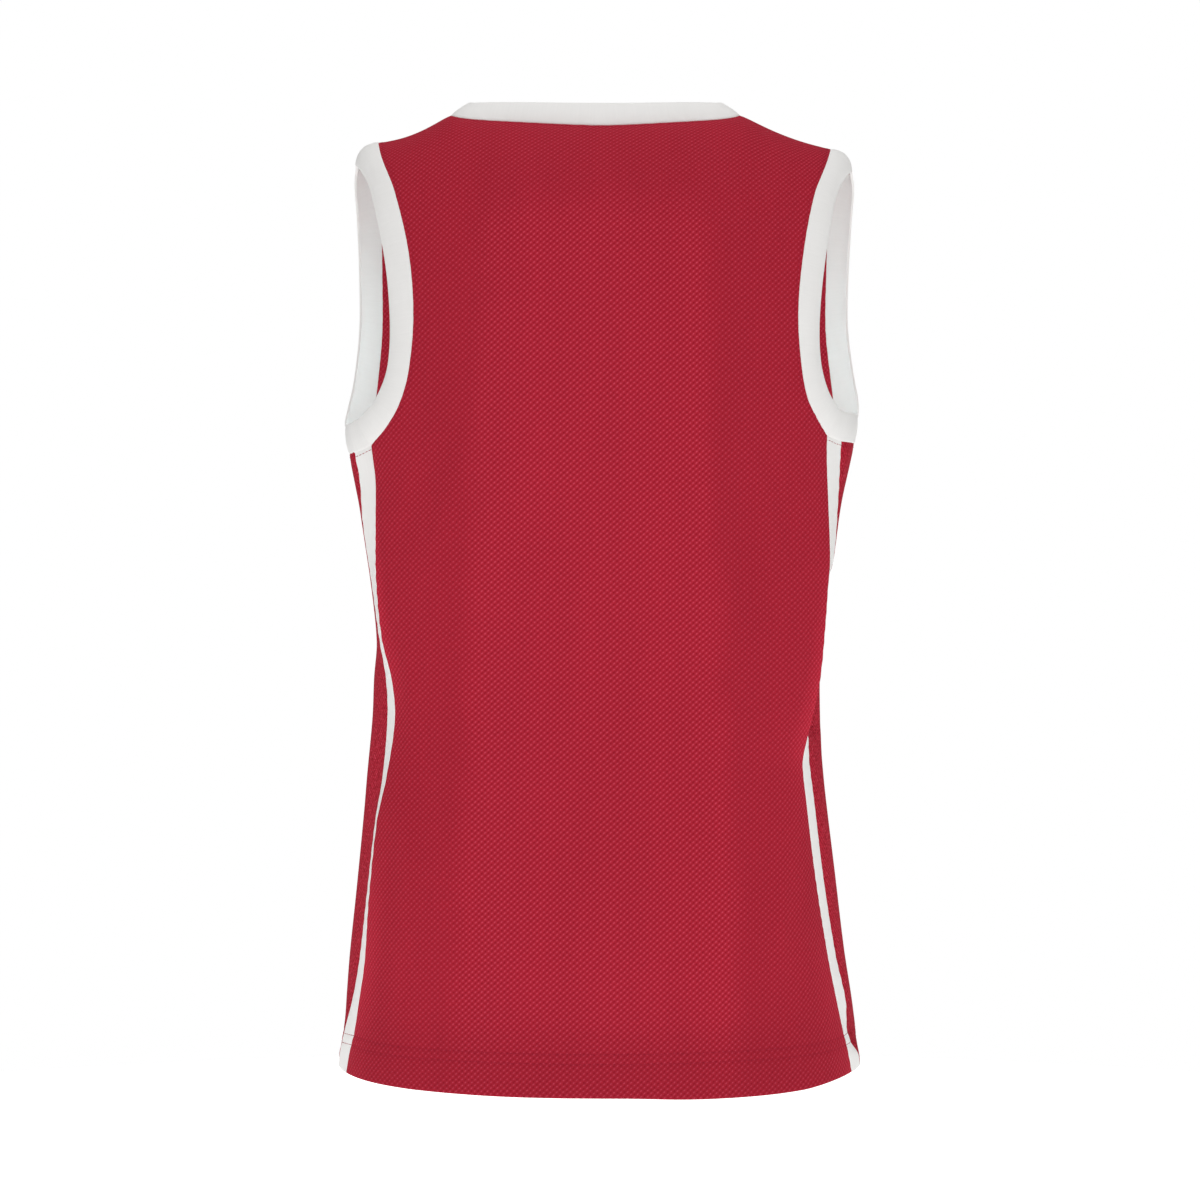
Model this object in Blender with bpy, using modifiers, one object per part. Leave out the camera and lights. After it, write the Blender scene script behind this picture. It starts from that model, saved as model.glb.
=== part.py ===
"""Sleeveless basketball jersey in its worn form, held open as if by a wearer.

The wearer faces -Y, +Z is up and +X is the wearer's left. The origin lies midway between the
shoulders, where the wearer carries the garment. Every piece is a thin wall on one shared form:
two mesh panels, two side panels, four stripes, a neckband and two armhole bands.
"""
import math

import bmesh
import bpy
from mathutils import Vector

NAME = "basketball_jersey"

PANEL_WALL = 0.0015
STRIPE_WALL = 0.0015
BAND_WALL = 0.0020
SEAM_GAP = 0.0003
STRIPE_WIDTH = 0.0155

HEM_HEIGHT = -0.7195
NECK_POINT_HEIGHT = 0.0092
BACK_NECK_DROP = 0.0172
FRONT_NECK_DROP = 0.0960
NECK_ROUNDING = 0.0060

SHOULDER_START = -0.16
CHEST_START = -0.24
WIDEST_DEPTH = -0.005
FRONT_SEAM_INSET = 0.012
FRONT_STRIPE_HEADING = 52.0

COLUMNS = 24
BODY_ROWS = 16
ARM_ROWS = 14
SIDE_COLUMNS = 4
BAND_COLUMNS = 3
NECK_SHARE = 0.5
EDGE_CROWDING = 0.9
MATCH = 0.00001
STRAIGHT = 0.999
LEAST_SLANT = 0.01

# Powers of the form: how late a panel turns to its side edge, how folds fade there and at their ends.
TURN_POWER = 10
FOLD_FADE = 8
FOLD_SWELL = 1.5


class Table:
    """Rows of named columns, read smoothly between rows by the value of the first column."""

    def __init__(self, columns, *rows):
        names = columns.split()
        self.keys = [row[0] for row in rows]
        self.columns = {name: [row[place] for row in rows] for place, name in enumerate(names)}

    def slope(self, values, row):
        low = max(row - 1, 0)
        high = min(row + 1, len(values) - 1)
        return (values[high] - values[low]) / (self.keys[high] - self.keys[low])

    def read(self, column, key):
        keys = self.keys
        values = self.columns[column]
        key = min(max(key, keys[0]), keys[-1])
        row = 0
        while row < len(keys) - 2 and key > keys[row + 1]:
            row += 1
        step = keys[row + 1] - keys[row]
        t = (key - keys[row]) / step
        rise = values[row + 1] - values[row]
        start = self.slope(values, row) * step
        end = self.slope(values, row + 1) * step
        return values[row] + t * (start + t * (3 * rise - 2 * start - end + t * (start + end - 2 * rise)))


# Depth of each panel: at its centre, at its side edge, and how much of the fall is a late sharp turn.
BACK_FORM = Table(
    "height  centre  edge    turn",
    (-0.7195, 0.1330, 0.0400, 0.38),
    (-0.6000, 0.1200, 0.0500, 0.42),
    (-0.5000, 0.1060, 0.0580, 0.48),
    (-0.4200, 0.0990, 0.0600, 0.50),
    (-0.3300, 0.1030, 0.0610, 0.42),
    (-0.2455, 0.1120, 0.0630, 0.32),
    (-0.1500, 0.1165, 0.0650, 0.25),
    (0.0200, 0.1140, 0.0750, 0.20),
)
FRONT_FORM = Table(
    "height  centre  edge    turn",
    (-0.7195, 0.1200, 0.0420, 0.35),
    (-0.5500, 0.1140, 0.0540, 0.40),
    (-0.4200, 0.1110, 0.0580, 0.40),
    (-0.3300, 0.1140, 0.0600, 0.30),
    (-0.2420, 0.1190, 0.0620, 0.25),
    (-0.1700, 0.1210, 0.0760, 0.20),
    (-0.1000, 0.1210, 0.0880, 0.15),
    (0.0200, 0.1180, 0.1000, 0.10),
)

# Each side: back seam, compass heading of its stripe (90 is straight forward), widest point.
# The rows above the armpit carry the form on behind the armhole.
LEFT_BODY = Table(
    "height  seam    heading widest",
    (-0.7195, 0.1890, 60.0, 0.1995),
    (-0.6884, 0.1841, 56.0, 0.1975),
    (-0.6437, 0.1767, 70.0, 0.1931),
    (-0.5842, 0.1722, 80.0, 0.1870),
    (-0.5247, 0.1655, 82.0, 0.1816),
    (-0.4949, 0.1588, 76.0, 0.1797),
    (-0.4503, 0.1521, 65.0, 0.1751),
    (-0.4205, 0.1544, 70.0, 0.1735),
    (-0.3908, 0.1618, 74.0, 0.1720),
    (-0.3461, 0.1663, 68.0, 0.1758),
    (-0.3015, 0.1670, 45.0, 0.1828),
    (-0.2717, 0.1672, 38.0, 0.1880),
    (-0.2455, 0.1690, 42.0, 0.1915),
    (-0.2100, 0.1705, 45.0, 0.1930),
    (0.0200, 0.1710, 45.0, 0.1930),
)
RIGHT_BODY = Table(
    "height  seam    heading widest",
    (-0.7195, 0.1868, 61.0, 0.1985),
    (-0.6884, 0.1812, 66.0, 0.1958),
    (-0.6288, 0.1693, 67.0, 0.1870),
    (-0.5693, 0.1596, 65.0, 0.1801),
    (-0.5098, 0.1521, 64.0, 0.1724),
    (-0.4800, 0.1507, 70.0, 0.1693),
    (-0.4503, 0.1577, 82.0, 0.1678),
    (-0.4205, 0.1625, 86.0, 0.1680),
    (-0.3759, 0.1674, 84.0, 0.1720),
    (-0.3312, 0.1708, 76.0, 0.1785),
    (-0.2866, 0.1687, 55.0, 0.1851),
    (-0.2568, 0.1675, 47.0, 0.1912),
    (-0.2383, 0.1680, 46.0, 0.1935),
    (-0.2000, 0.1695, 46.0, 0.1950),
    (0.0200, 0.1700, 46.0, 0.1950),
)

# How far each armhole is cut in from the line of its body seam, by share of its height.
ARMHOLES = Table(
    "share back_left back_right front_left front_right",
    (0.00, 0.0000, 0.0000, 0.0000, 0.0000),
    (0.05, 0.0110, 0.0078, 0.0003, -0.0005),
    (0.12, 0.0218, 0.0166, 0.0012, -0.0010),
    (0.22, 0.0297, 0.0218, 0.0032, 0.0018),
    (0.40, 0.0342, 0.0245, 0.0062, 0.0050),
    (0.60, 0.0306, 0.0204, 0.0069, 0.0050),
    (0.80, 0.0185, 0.0114, 0.0080, 0.0048),
    (0.92, 0.0070, 0.0005, 0.0095, 0.0050),
    (1.00, 0.0010, -0.0071, 0.0110, 0.0059),
)

# Armhole band, from its seam to its free edge. Stations: 0 shoulder, 1 back corner, 2 front corner.
ARM_BAND = Table(
    "station out     back    up      bulge",
    (0.00, 0.0174, 0.0000, -0.0170, 0.0060),
    (0.10, 0.0140, -0.0120, -0.0080, 0.0035),
    (0.25, 0.0168, -0.0160, -0.0050, 0.0025),
    (0.60, 0.0182, -0.0180, -0.0020, 0.0020),
    (0.86, 0.0185, -0.0150, 0.0060, 0.0020),
    (1.00, 0.0100, -0.0100, 0.0190, 0.0020),
    (1.33, 0.0045, -0.0080, 0.0210, 0.0015),
    (1.50, 0.0035, 0.0000, 0.0225, 0.0010),
    (1.67, 0.0065, 0.0060, 0.0220, 0.0015),
    (2.00, 0.0165, 0.0110, 0.0180, 0.0020),
    (2.15, 0.0180, 0.0160, 0.0080, 0.0020),
    (2.50, 0.0155, 0.0195, 0.0000, 0.0020),
    (2.80, 0.0165, 0.0150, -0.0060, 0.0030),
    (3.00, 0.0174, 0.0000, -0.0170, 0.0060),
)

# Neckband, by angle round the neck from the centre back to the centre front.
NECK_BAND = Table(
    "angle inward up      bulge",
    (0.0, 0.0080, 0.0175, 0.0010),
    (30.0, 0.0085, 0.0172, 0.0010),
    (60.0, 0.0110, 0.0135, 0.0010),
    (90.0, 0.0155, 0.0090, 0.0015),
    (105.0, 0.0165, 0.0080, 0.0015),
    (120.0, 0.0150, 0.0110, 0.0015),
    (150.0, 0.0115, 0.0160, 0.0010),
    (180.0, 0.0092, 0.0177, 0.0010),
)


class Side:
    """One side of the garment: its shoulder line, its seams and the heights under its arm."""

    def __init__(self, name, sign, neck, tip, fall, ease, band_reach, body, under_arm):
        self.name = name
        self.sign = sign
        self.neck = neck
        self.tip = tip
        self.band_reach = band_reach
        self.fall = fall
        self.ease = ease
        self.body = body
        self.under_arm = under_arm


LEFT = Side("left", 1, 0.1137, 0.1700, 0.7393, 6.16, 1.0, LEFT_BODY, Table(
    "place height", (0.0, -0.2455), (1.0, -0.2505), (1.5, -0.2488), (2.0, -0.2465), (3.0, -0.2420)))
RIGHT = Side("right", -1, 0.1066, 0.1771, 0.5955, 3.09, 0.92, RIGHT_BODY, Table(
    "place height", (0.0, -0.2383), (1.0, -0.2418), (1.5, -0.2405), (2.0, -0.2390), (3.0, -0.2350)))


class Panel:
    """The back or the front: which way it faces, its form, and how it closes over the shoulder."""

    def __init__(self, name, facing, form, start, power, root, corner_place, neck_drop, neck_power):
        self.name = name
        self.facing = facing
        self.form = form
        self.start = start
        self.power = power
        self.root = root
        self.corner_place = corner_place
        self.neck_drop = neck_drop
        self.neck_power = neck_power

    def corner(self, side):
        return side.under_arm.read("height", self.corner_place)


BACK = Panel("back", 1, BACK_FORM, SHOULDER_START, 3.0, 0.5, 0.0, BACK_NECK_DROP, 1.15)
FRONT = Panel("front", -1, FRONT_FORM, CHEST_START, 2.0, 0.62, 3.0, FRONT_NECK_DROP, 1.7)

# Largest folds: where they lie, how they lean, how wide and how proud they are (troughs negative).
BACK_FOLDS = (
    # across, top,    bottom,  lean,   width, lift
    (0.0775, -0.220, -0.400, -0.05, 0.022, 0.0030),
    (-0.0270, -0.225, -0.380, 0.00, 0.020, 0.0028),
    (-0.0760, -0.260, -0.420, 0.04, 0.022, 0.0030),
    (0.0480, -0.230, -0.440, 0.02, 0.020, -0.0025),
    (-0.1100, -0.240, -0.400, 0.03, 0.024, -0.0030),
    (0.1350, -0.420, -0.560, 0.06, 0.016, -0.0030),
    (0.0100, -0.520, -0.680, 0.10, 0.040, 0.0025),
)
FRONT_FOLDS = (
    (0.0620, -0.200, -0.420, 0.05, 0.024, 0.0030),
    (-0.0500, -0.220, -0.460, -0.04, 0.026, 0.0032),
    (0.0050, -0.300, -0.560, 0.03, 0.024, -0.0028),
    (-0.1120, -0.380, -0.620, 0.03, 0.026, 0.0030),
    (0.1150, -0.400, -0.640, -0.03, 0.026, -0.0028),
)
FOLDS = {"back": BACK_FOLDS, "front": FRONT_FOLDS}


def side_of(across):
    return LEFT if across >= 0 else RIGHT


def crest_height(side, across):
    """Height of the shoulder seam, carried on level across the neck."""
    beyond = across - side.neck
    ramp = (beyond + math.hypot(beyond, NECK_ROUNDING)) / 2 - NECK_ROUNDING / 2
    return NECK_POINT_HEIGHT - side.fall * ramp + side.ease * max(beyond, 0.0) ** 2


def seam_across(panel, side, height):
    """Distance of a panel's body seam from the middle, carried straight up above the armpit."""
    if panel is BACK:
        return side.body.read("seam", height)
    return side.body.read("widest", height) - FRONT_SEAM_INSET


def closing(panel, side, across, height):
    """How far the cloth still stands off the shoulder line: 1 on the body, 0 at the shoulder seam."""
    if height <= panel.start:
        return 1.0
    rise = (height - panel.start) / (crest_height(side, across) - panel.start)
    return max(1.0 - min(rise, 1.0) ** panel.power, 0.0) ** panel.root


def fold_lift(panel, across, height):
    lift = 0.0
    for middle, top, bottom, lean, width, proud in FOLDS[panel.name]:
        if not bottom < height < top:
            continue
        share = (height - bottom) / (top - bottom)
        line = middle + lean * (height - (top + bottom) / 2)
        swell = math.sin(math.pi * share) ** FOLD_SWELL
        lift += proud * swell * math.exp(-(((across - line) / width) ** 2))
    return lift


def on_panel(panel, across, height):
    """Point of the back's or the front's form at a signed distance across and a height."""
    side = side_of(across)
    away = abs(across)
    reach = away / seam_across(panel, side, height)
    turn = panel.form.read("turn", height)
    centre = panel.form.read("centre", height)
    fall = centre - panel.form.read("edge", height)
    depth = centre - fall * ((1 - turn) * reach ** 2 + turn * reach ** TURN_POWER)
    depth += fold_lift(panel, across, height) * (1 - reach ** FOLD_FADE)
    return Vector((across, panel.facing * depth * closing(panel, side, away, height), height))


def crowded(share):
    """Columns lie closer together towards a panel's side edges, where it turns."""
    return math.sin(share * EDGE_CROWDING * math.pi / 2) / math.sin(EDGE_CROWDING * math.pi / 2)


def top_edge(panel, share):
    """Distance and height of a panel's upper edge: its neckline, then its shoulder seam."""
    side = side_of(share)
    away = abs(share)
    if away < NECK_SHARE:
        angle = away / NECK_SHARE * math.pi / 2
        height = NECK_POINT_HEIGHT - panel.neck_drop * math.cos(angle) ** panel.neck_power
        return side.neck * math.sin(angle), height
    run = (away - NECK_SHARE) / (1 - NECK_SHARE)
    across = side.neck + (side.tip - side.neck) * run
    return across, crest_height(side, across)


def arm_rise(row):
    """Share of the height from the armpit to the top, with rows close together at both ends."""
    return (1 - math.cos(math.pi * row / ARM_ROWS)) / 2


def panel_point(panel, share, row):
    """Point of a panel by its place across (-1 right edge to 1 left edge) and its row from the hem."""
    side = side_of(share)
    away = abs(share)
    lean = (share + 1) / 2
    corner = panel.corner(LEFT) * lean + panel.corner(RIGHT) * (1 - lean)
    if row <= BODY_ROWS:
        height = HEM_HEIGHT + (corner - HEM_HEIGHT) * row / BODY_ROWS
        across = crowded(away) * seam_across(panel, side, height)
        return on_panel(panel, side.sign * across, height)
    rise = arm_rise(row - BODY_ROWS)
    top_across, top_height = top_edge(panel, share)
    edge_height = corner + (crest_height(side, side.tip) - corner) * rise
    cut_in = ARMHOLES.read(panel.name + "_" + side.name, rise)
    width = seam_across(panel, side, edge_height) - cut_in
    across = width * (crowded(away) * (1 - rise ** 2) + top_across / side.tip * rise ** 2)
    return on_panel(panel, side.sign * across, corner + (top_height - corner) * rise)


def hermite(start, start_way, end, end_way, t):
    rise = end - start
    return start + t * (start_way + t * (3 * rise - 2 * start_way - end_way
                                         + t * (start_way + end_way - 2 * rise)))


def level_way(way, run):
    """Way scaled to the run, and short enough that the cloth never swings out past its widest point."""
    return way * min(run.length, 2 * abs(run.x) / max(abs(way.x), LEAST_SLANT))


def side_point(side, place, row):
    """Point between the back seam (place 0) and the front seam (place 3), with the stripes at
    either end and the side panel from place 1 to place 2."""
    height = HEM_HEIGHT + (side.under_arm.read("height", place) - HEM_HEIGHT) * row / BODY_ROWS
    heading = math.radians(side.body.read("heading", height))
    front_heading = math.radians(FRONT_STRIPE_HEADING)
    back_way = Vector((side.sign * math.cos(heading), -math.sin(heading), 0))
    front_way = Vector((-side.sign * math.cos(front_heading), -math.sin(front_heading), 0))
    back_seam = on_panel(BACK, side.sign * seam_across(BACK, side, height), height)
    front_seam = on_panel(FRONT, side.sign * seam_across(FRONT, side, height), height)
    back_edge = back_seam + back_way * STRIPE_WIDTH
    front_edge = front_seam - front_way * STRIPE_WIDTH
    widest = Vector((side.sign * side.body.read("widest", height), WIDEST_DEPTH, height))
    if place <= 1:
        return back_seam.lerp(back_edge, place)
    if place >= 2:
        return front_edge.lerp(front_seam, place - 2)
    forward = Vector((0, -1, 0))
    if place <= 1.5:
        run = widest - back_edge
        return hermite(back_edge, level_way(back_way, run), widest, forward * run.length, 2 * place - 2)
    run = front_edge - widest
    return hermite(widest, forward * run.length, front_edge, level_way(front_way, run), 2 * place - 3)


def arm_seam(side):
    """Stations and points round an armhole's seam: down the back, under the arm, up the front."""
    ring = []
    for row in range(ARM_ROWS, -1, -1):
        ring.append((1 - arm_rise(row), panel_point(BACK, side.sign, BODY_ROWS + row)))
    for step in range(SIDE_COLUMNS + 1):
        place = 1 + step / SIDE_COLUMNS
        ring.append((1 + place / 3, side_point(side, place, BODY_ROWS)))
    for row in range(ARM_ROWS):
        ring.append((2 + arm_rise(row), panel_point(FRONT, side.sign, BODY_ROWS + row)))
    return ring


def neck_seam():
    """Angles and points round the neck's seam, across the back to the right and home by the front."""
    half = int(COLUMNS * NECK_SHARE)
    ring = []
    for step in range(half):
        share = NECK_SHARE * (1 - 2 * step / half)
        ring.append((abs(share) / NECK_SHARE * 90, panel_point(BACK, share, BODY_ROWS + ARM_ROWS)))
    for step in range(half):
        share = -NECK_SHARE * (1 - 2 * step / half)
        ring.append((180 - abs(share) / NECK_SHARE * 90, panel_point(FRONT, share, BODY_ROWS + ARM_ROWS)))
    return ring


def band_rows(ring, offset_of, bulge_of, turn):
    """Start, middle and free-edge points of a band, bulging away from the body along its ring."""
    rows = []
    for index, (station, seam) in enumerate(ring):
        along = ring[(index + 1) % len(ring)][1] - ring[index - 1][1]
        free = seam + offset_of(station, along)
        outward = (free - seam).cross(along).normalized() * turn
        middle = (seam + free) / 2 + outward * 2 * bulge_of(station)
        rows.append((seam, middle, free))
    return rows


def arm_band_rows(side):
    def offset(station, _along):
        out = side.sign * side.band_reach * ARM_BAND.read("out", station)
        return Vector((out, ARM_BAND.read("back", station), ARM_BAND.read("up", station)))

    return band_rows(arm_seam(side), offset, lambda station: ARM_BAND.read("bulge", station), side.sign)


def neck_band_rows():
    def offset(angle, along):
        inward = Vector((-along.y, along.x, 0)).normalized() * NECK_BAND.read("inward", angle)
        lean = inward + Vector((0, 0, NECK_BAND.read("up", angle)))
        return lean - along * lean.dot(along) / along.length_squared

    return band_rows(neck_seam(), offset, lambda angle: NECK_BAND.read("bulge", angle), 1)


def band_point(rows, column, across):
    seam, middle, free = rows[column % len(rows)]
    return seam.lerp(middle, across).lerp(middle.lerp(free, across), across)


def material(name, colour, roughness):
    made = bpy.data.materials.new(name)
    made.use_nodes = True
    shader = made.node_tree.nodes["Principled BSDF"]
    shader.inputs["Base Color"].default_value = (*colour, 1.0)
    shader.inputs["Roughness"].default_value = roughness
    shader.inputs["Metallic"].default_value = 0.0
    made.diffuse_color = (*colour, 1.0)
    return made


def seam_key(edge):
    """The same for two sheets whose edges run along one seam."""
    ends = [tuple(round(value / MATCH) for value in vertex.co) for vertex in edge.verts]
    return tuple(sorted(ends))


def inward_way(edge):
    """Direction in the cloth, square to a sheet's edge and away from it."""
    line = (edge.verts[1].co - edge.verts[0].co).normalized()
    way = edge.link_faces[0].calc_center_median() - edge.verts[0].co
    return (way - line * way.dot(line)).normalized()


class Sheet:
    """One piece of cloth: a grid whose points place() puts on the form, and a wall's thickness."""

    def __init__(self, name, columns, rows, place, wall, finish):
        self.name = name
        self.wall = wall
        self.finish = finish
        self.mesh = bmesh.new()
        bmesh.ops.create_grid(self.mesh, x_segments=columns, y_segments=rows, size=0.5)
        for vertex in self.mesh.verts:
            column = round((vertex.co.x + 0.5) * columns)
            row = round((vertex.co.y + 0.5) * rows)
            vertex.co = place(column, row)
        bmesh.ops.remove_doubles(self.mesh, verts=self.mesh.verts, dist=MATCH)
        bmesh.ops.recalc_face_normals(self.mesh, faces=self.mesh.faces)

    def edges(self):
        return [edge for edge in self.mesh.edges if edge.is_boundary]

    def trim(self, neighbours):
        """Draw the edges in, further where the cloth bends at the seam, so that walls never meet."""
        pulls = {}
        for edge in self.edges():
            way = inward_way(edge)
            distance = SEAM_GAP / 2
            for other in neighbours[seam_key(edge)]:
                if other is not self:
                    bend = math.acos(max(min(-way.dot(neighbours[seam_key(edge)][other]), 1.0), -1.0))
                    distance += self.wall / 2 * math.tan(bend / 2)
            for vertex in edge.verts:
                pulls.setdefault(vertex, []).append((way, distance))
        for vertex, (first, second) in pulls.items():
            vertex.co += corner_move(first, second)

    def finish_into(self, collection):
        data = bpy.data.meshes.new(self.name)
        self.mesh.to_mesh(data)
        self.mesh.free()
        data.materials.append(self.finish)
        data.shade_smooth()
        made = bpy.data.objects.new(self.name, data)
        collection.objects.link(made)
        wall = made.modifiers.new("wall", "SOLIDIFY")
        wall.thickness = self.wall
        wall.offset = 0.0


def corner_move(first, second):
    """Shift of a corner that draws its two edges in by their own distances."""
    way_1, distance_1 = first
    way_2, distance_2 = second
    shared = way_1.dot(way_2)
    if abs(shared) > STRAIGHT:
        return way_1 * (distance_1 + distance_2) / 2
    spread = 1 - shared ** 2
    part_1 = (distance_1 - distance_2 * shared) / spread
    part_2 = (distance_2 - distance_1 * shared) / spread
    return way_1 * part_1 + way_2 * part_2


def panel_sheet(panel, finish):
    def place(column, row):
        return panel_point(panel, 2 * column / COLUMNS - 1, row)

    return Sheet(panel.name + "_panel", COLUMNS, BODY_ROWS + ARM_ROWS, place, PANEL_WALL, finish)


def side_sheets(side, mesh_finish, knit_finish):
    def strip(name, first, columns, wall, finish):
        def place(column, row):
            return side_point(side, first + column / columns, row)

        return Sheet(name + "_" + side.name, columns, BODY_ROWS, place, wall, finish)

    return [
        strip("back_stripe", 0, 1, STRIPE_WALL, knit_finish),
        strip("side_panel", 1, SIDE_COLUMNS, PANEL_WALL, mesh_finish),
        strip("front_stripe", 2, 1, STRIPE_WALL, knit_finish),
    ]


def band_sheet(name, rows, finish):
    def place(column, across):
        return band_point(rows, column, across / BAND_COLUMNS)

    return Sheet(name, len(rows), BAND_COLUMNS, place, BAND_WALL, finish)


def neighbours_of(sheets):
    """For each seam, the sheets that meet there and the way each runs from it."""
    seams = {}
    for cloth in sheets:
        for edge in cloth.edges():
            seams.setdefault(seam_key(edge), {})[cloth] = inward_way(edge)
    return seams


def clear_scene():
    for thing in list(bpy.data.objects):
        bpy.data.objects.remove(thing, do_unlink=True)


def main():
    clear_scene()
    collection = bpy.data.collections.new(NAME)
    bpy.context.scene.collection.children.link(collection)
    red_mesh = material("red_mesh", (0.413, 0.021, 0.041), 0.75)
    white_knit = material("white_knit", (0.775, 0.768, 0.752), 0.80)
    sheets = [panel_sheet(BACK, red_mesh), panel_sheet(FRONT, red_mesh)]
    for side in (LEFT, RIGHT):
        sheets += side_sheets(side, red_mesh, white_knit)
        sheets.append(band_sheet("armband_" + side.name, arm_band_rows(side), white_knit))
    sheets.append(band_sheet("neckband", neck_band_rows(), white_knit))
    seams = neighbours_of(sheets)
    for cloth in sheets:
        cloth.trim(seams)
    for cloth in sheets:
        cloth.finish_into(collection)


main()
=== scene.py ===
import math
from collections import namedtuple

import bpy
import numpy as np
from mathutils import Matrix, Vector


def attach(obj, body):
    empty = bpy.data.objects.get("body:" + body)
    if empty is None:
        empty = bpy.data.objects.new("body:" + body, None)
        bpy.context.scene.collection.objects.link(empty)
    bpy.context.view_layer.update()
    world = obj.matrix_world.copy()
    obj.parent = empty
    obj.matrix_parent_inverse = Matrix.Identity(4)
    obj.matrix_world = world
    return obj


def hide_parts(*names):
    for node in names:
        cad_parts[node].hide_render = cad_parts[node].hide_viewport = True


bl_info = {
    "name": "Basketball Jersey",
    "version": (1, 0, 0),
    "blender": (4, 5, 0),
    "location": "View3D > Sidebar > Jersey",
    "description": "Dresses a sleeveless basketball jersey in mesh cloth, knit bands and stitching",
    "category": "Add Mesh",
}

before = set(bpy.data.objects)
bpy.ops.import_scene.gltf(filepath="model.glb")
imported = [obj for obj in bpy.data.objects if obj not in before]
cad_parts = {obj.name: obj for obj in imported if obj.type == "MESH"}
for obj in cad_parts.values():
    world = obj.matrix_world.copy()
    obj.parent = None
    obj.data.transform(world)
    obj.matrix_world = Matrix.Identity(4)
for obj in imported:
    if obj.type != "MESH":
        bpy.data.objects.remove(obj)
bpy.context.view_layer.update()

# Cut and drape, shared by the whole garment. The wearer faces -Y and +X is their left.
HEM_HEIGHT = -0.7195
NECK_POINT_HEIGHT = 0.0092
NECK_ROUNDING = 0.0060
NECK_SHARE = 0.5
NECK_WAVE_POWER = 1.2
WIDEST_DEPTH = -0.005
FRONT_SEAM_INSET = 0.012
FRONT_STRIPE_HEADING = 52.0
STRIPE_WIDTH = 0.0155
HIDDEN_HEADING = 84.0
HIDDEN_HEADING_RANGE = 12.0
CORNER_RISE = 0.0030
HEM_RISE_FADE = 0.060
HEM_ZONE = 0.036
EDGE_CROWDING = 0.9
LEAST_SLANT = 0.01
TURN_POWER = 10
FOLD_FADE = 20
FOLD_SWELL = 1.5

# Fineness of the cloth grids, in cells, and the lines that shape a sewn edge, by distance from it.
# The spans turn that distance into a share of a panel's half, an armhole's height or a body's.
PANEL_COLUMNS = 116
BODY_ROWS = 140
ARM_ROWS = 90
HEM_ROWS = 26
HEM_LAYER_ROWS = 14
HEM_FOLD_TURNS = (0.0, 45.0, 90.0, 135.0)
SIDE_COLUMNS = 26
STRIPE_COLUMNS = 10
BAND_STEPS = 100
BAND_SHARES = np.concatenate([[0.0, 0.025, 0.055, 0.095, 0.15], np.linspace(0.22, 1.0, 9)])
BAND_WAY_SMOOTHING = 6
BAND_EDGE_SMOOTHING = 10
EDGE_LINES = np.array([0.0004, 0.0009, 0.0016, 0.0026])
EDGE_CLEARANCE = 1.4
PANEL_SPAN = 0.045
ARM_SPAN = 0.22
BODY_SPAN = 0.47
SIDE_WIDTH = 0.080
SIDE_CUT_PLACE = 0.30
CUT_REACH = 0.2
CUT_COLUMNS = 80
CUT_ROWS = 39
CUT_RISES = 59
CELL_MARGIN = 0.0001
MERGE_DISTANCE = 1e-5
LEAST_LENGTH = 1e-12

# How puckers vary along a seam and a stitch row: how far and how fast they drift and swell.
PUCKER_DRIFT = 1.7
PUCKER_DRIFT_RATE = 47
PUCKER_SWELL = 0.4
PUCKER_SWELL_RATE = 31
ROW_SWELL = 0.35
ROW_SWELL_PITCH = 0.021
ROW_DRIFT = 1.3
ROW_DRIFT_RATE = 23

# Rounding of a wall's edges as a share of the wall, and how stitches lie on the cloth.
CLOTH_ROUNDING = 0.4
BAND_ROUNDING = 0.42
STITCH_DIVE = 1.1
STITCH_LIFT = 0.12
STITCH_PROBE = 0.0008
NECK_ROW_REACH = 0.104
SEAM_PROBE = 0.001

# Stage.
FLOOR_RADIUS = 2.6
LAMP_SIZE = 1.2
SIDE_LAMP_SIZE = 0.9
INSIDE_LAMP_SIZE = 0.16
INSIDE_LAMP_HEIGHT = -0.17
INSIDE_LAMP_SPREAD = 110.0
INSIDE_LAMP_COLOUR = (0.80, 1.0, 1.0)
SENSOR = 36.0
WHITE = (1.0, 1.0, 1.0, 1.0)

# Ramps read heights from this far under the shoulders. The gussets start this far round the body.
RAMP_BASE = 0.8
GUSSET_START = 0.245


def hermite(start, start_way, end, end_way, t):
    rise = end - start
    return start + t * (start_way + t * (3 * rise - 2 * start_way - end_way
                                         + t * (start_way + end_way - 2 * rise)))


class Table:
    """Rows of named columns, read smoothly between rows by the value of the first column."""

    def __init__(self, columns, *rows):
        self.names = columns.split()
        self.rows = np.array(rows, dtype=float)

    def read(self, column, key):
        keys = self.rows[:, 0]
        values = self.rows[:, self.names.index(column)]
        last = len(keys) - 1
        high = np.minimum(np.arange(last + 1) + 1, last)
        low = np.maximum(np.arange(last + 1) - 1, 0)
        slopes = (values[high] - values[low]) / (keys[high] - keys[low])
        key = np.clip(key, keys[0], keys[-1])
        row = np.clip(np.searchsorted(keys, key) - 1, 0, last - 1)
        step = keys[row + 1] - keys[row]
        return hermite(values[row], slopes[row] * step, values[row + 1], slopes[row + 1] * step,
                       (key - keys[row]) / step)


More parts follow.
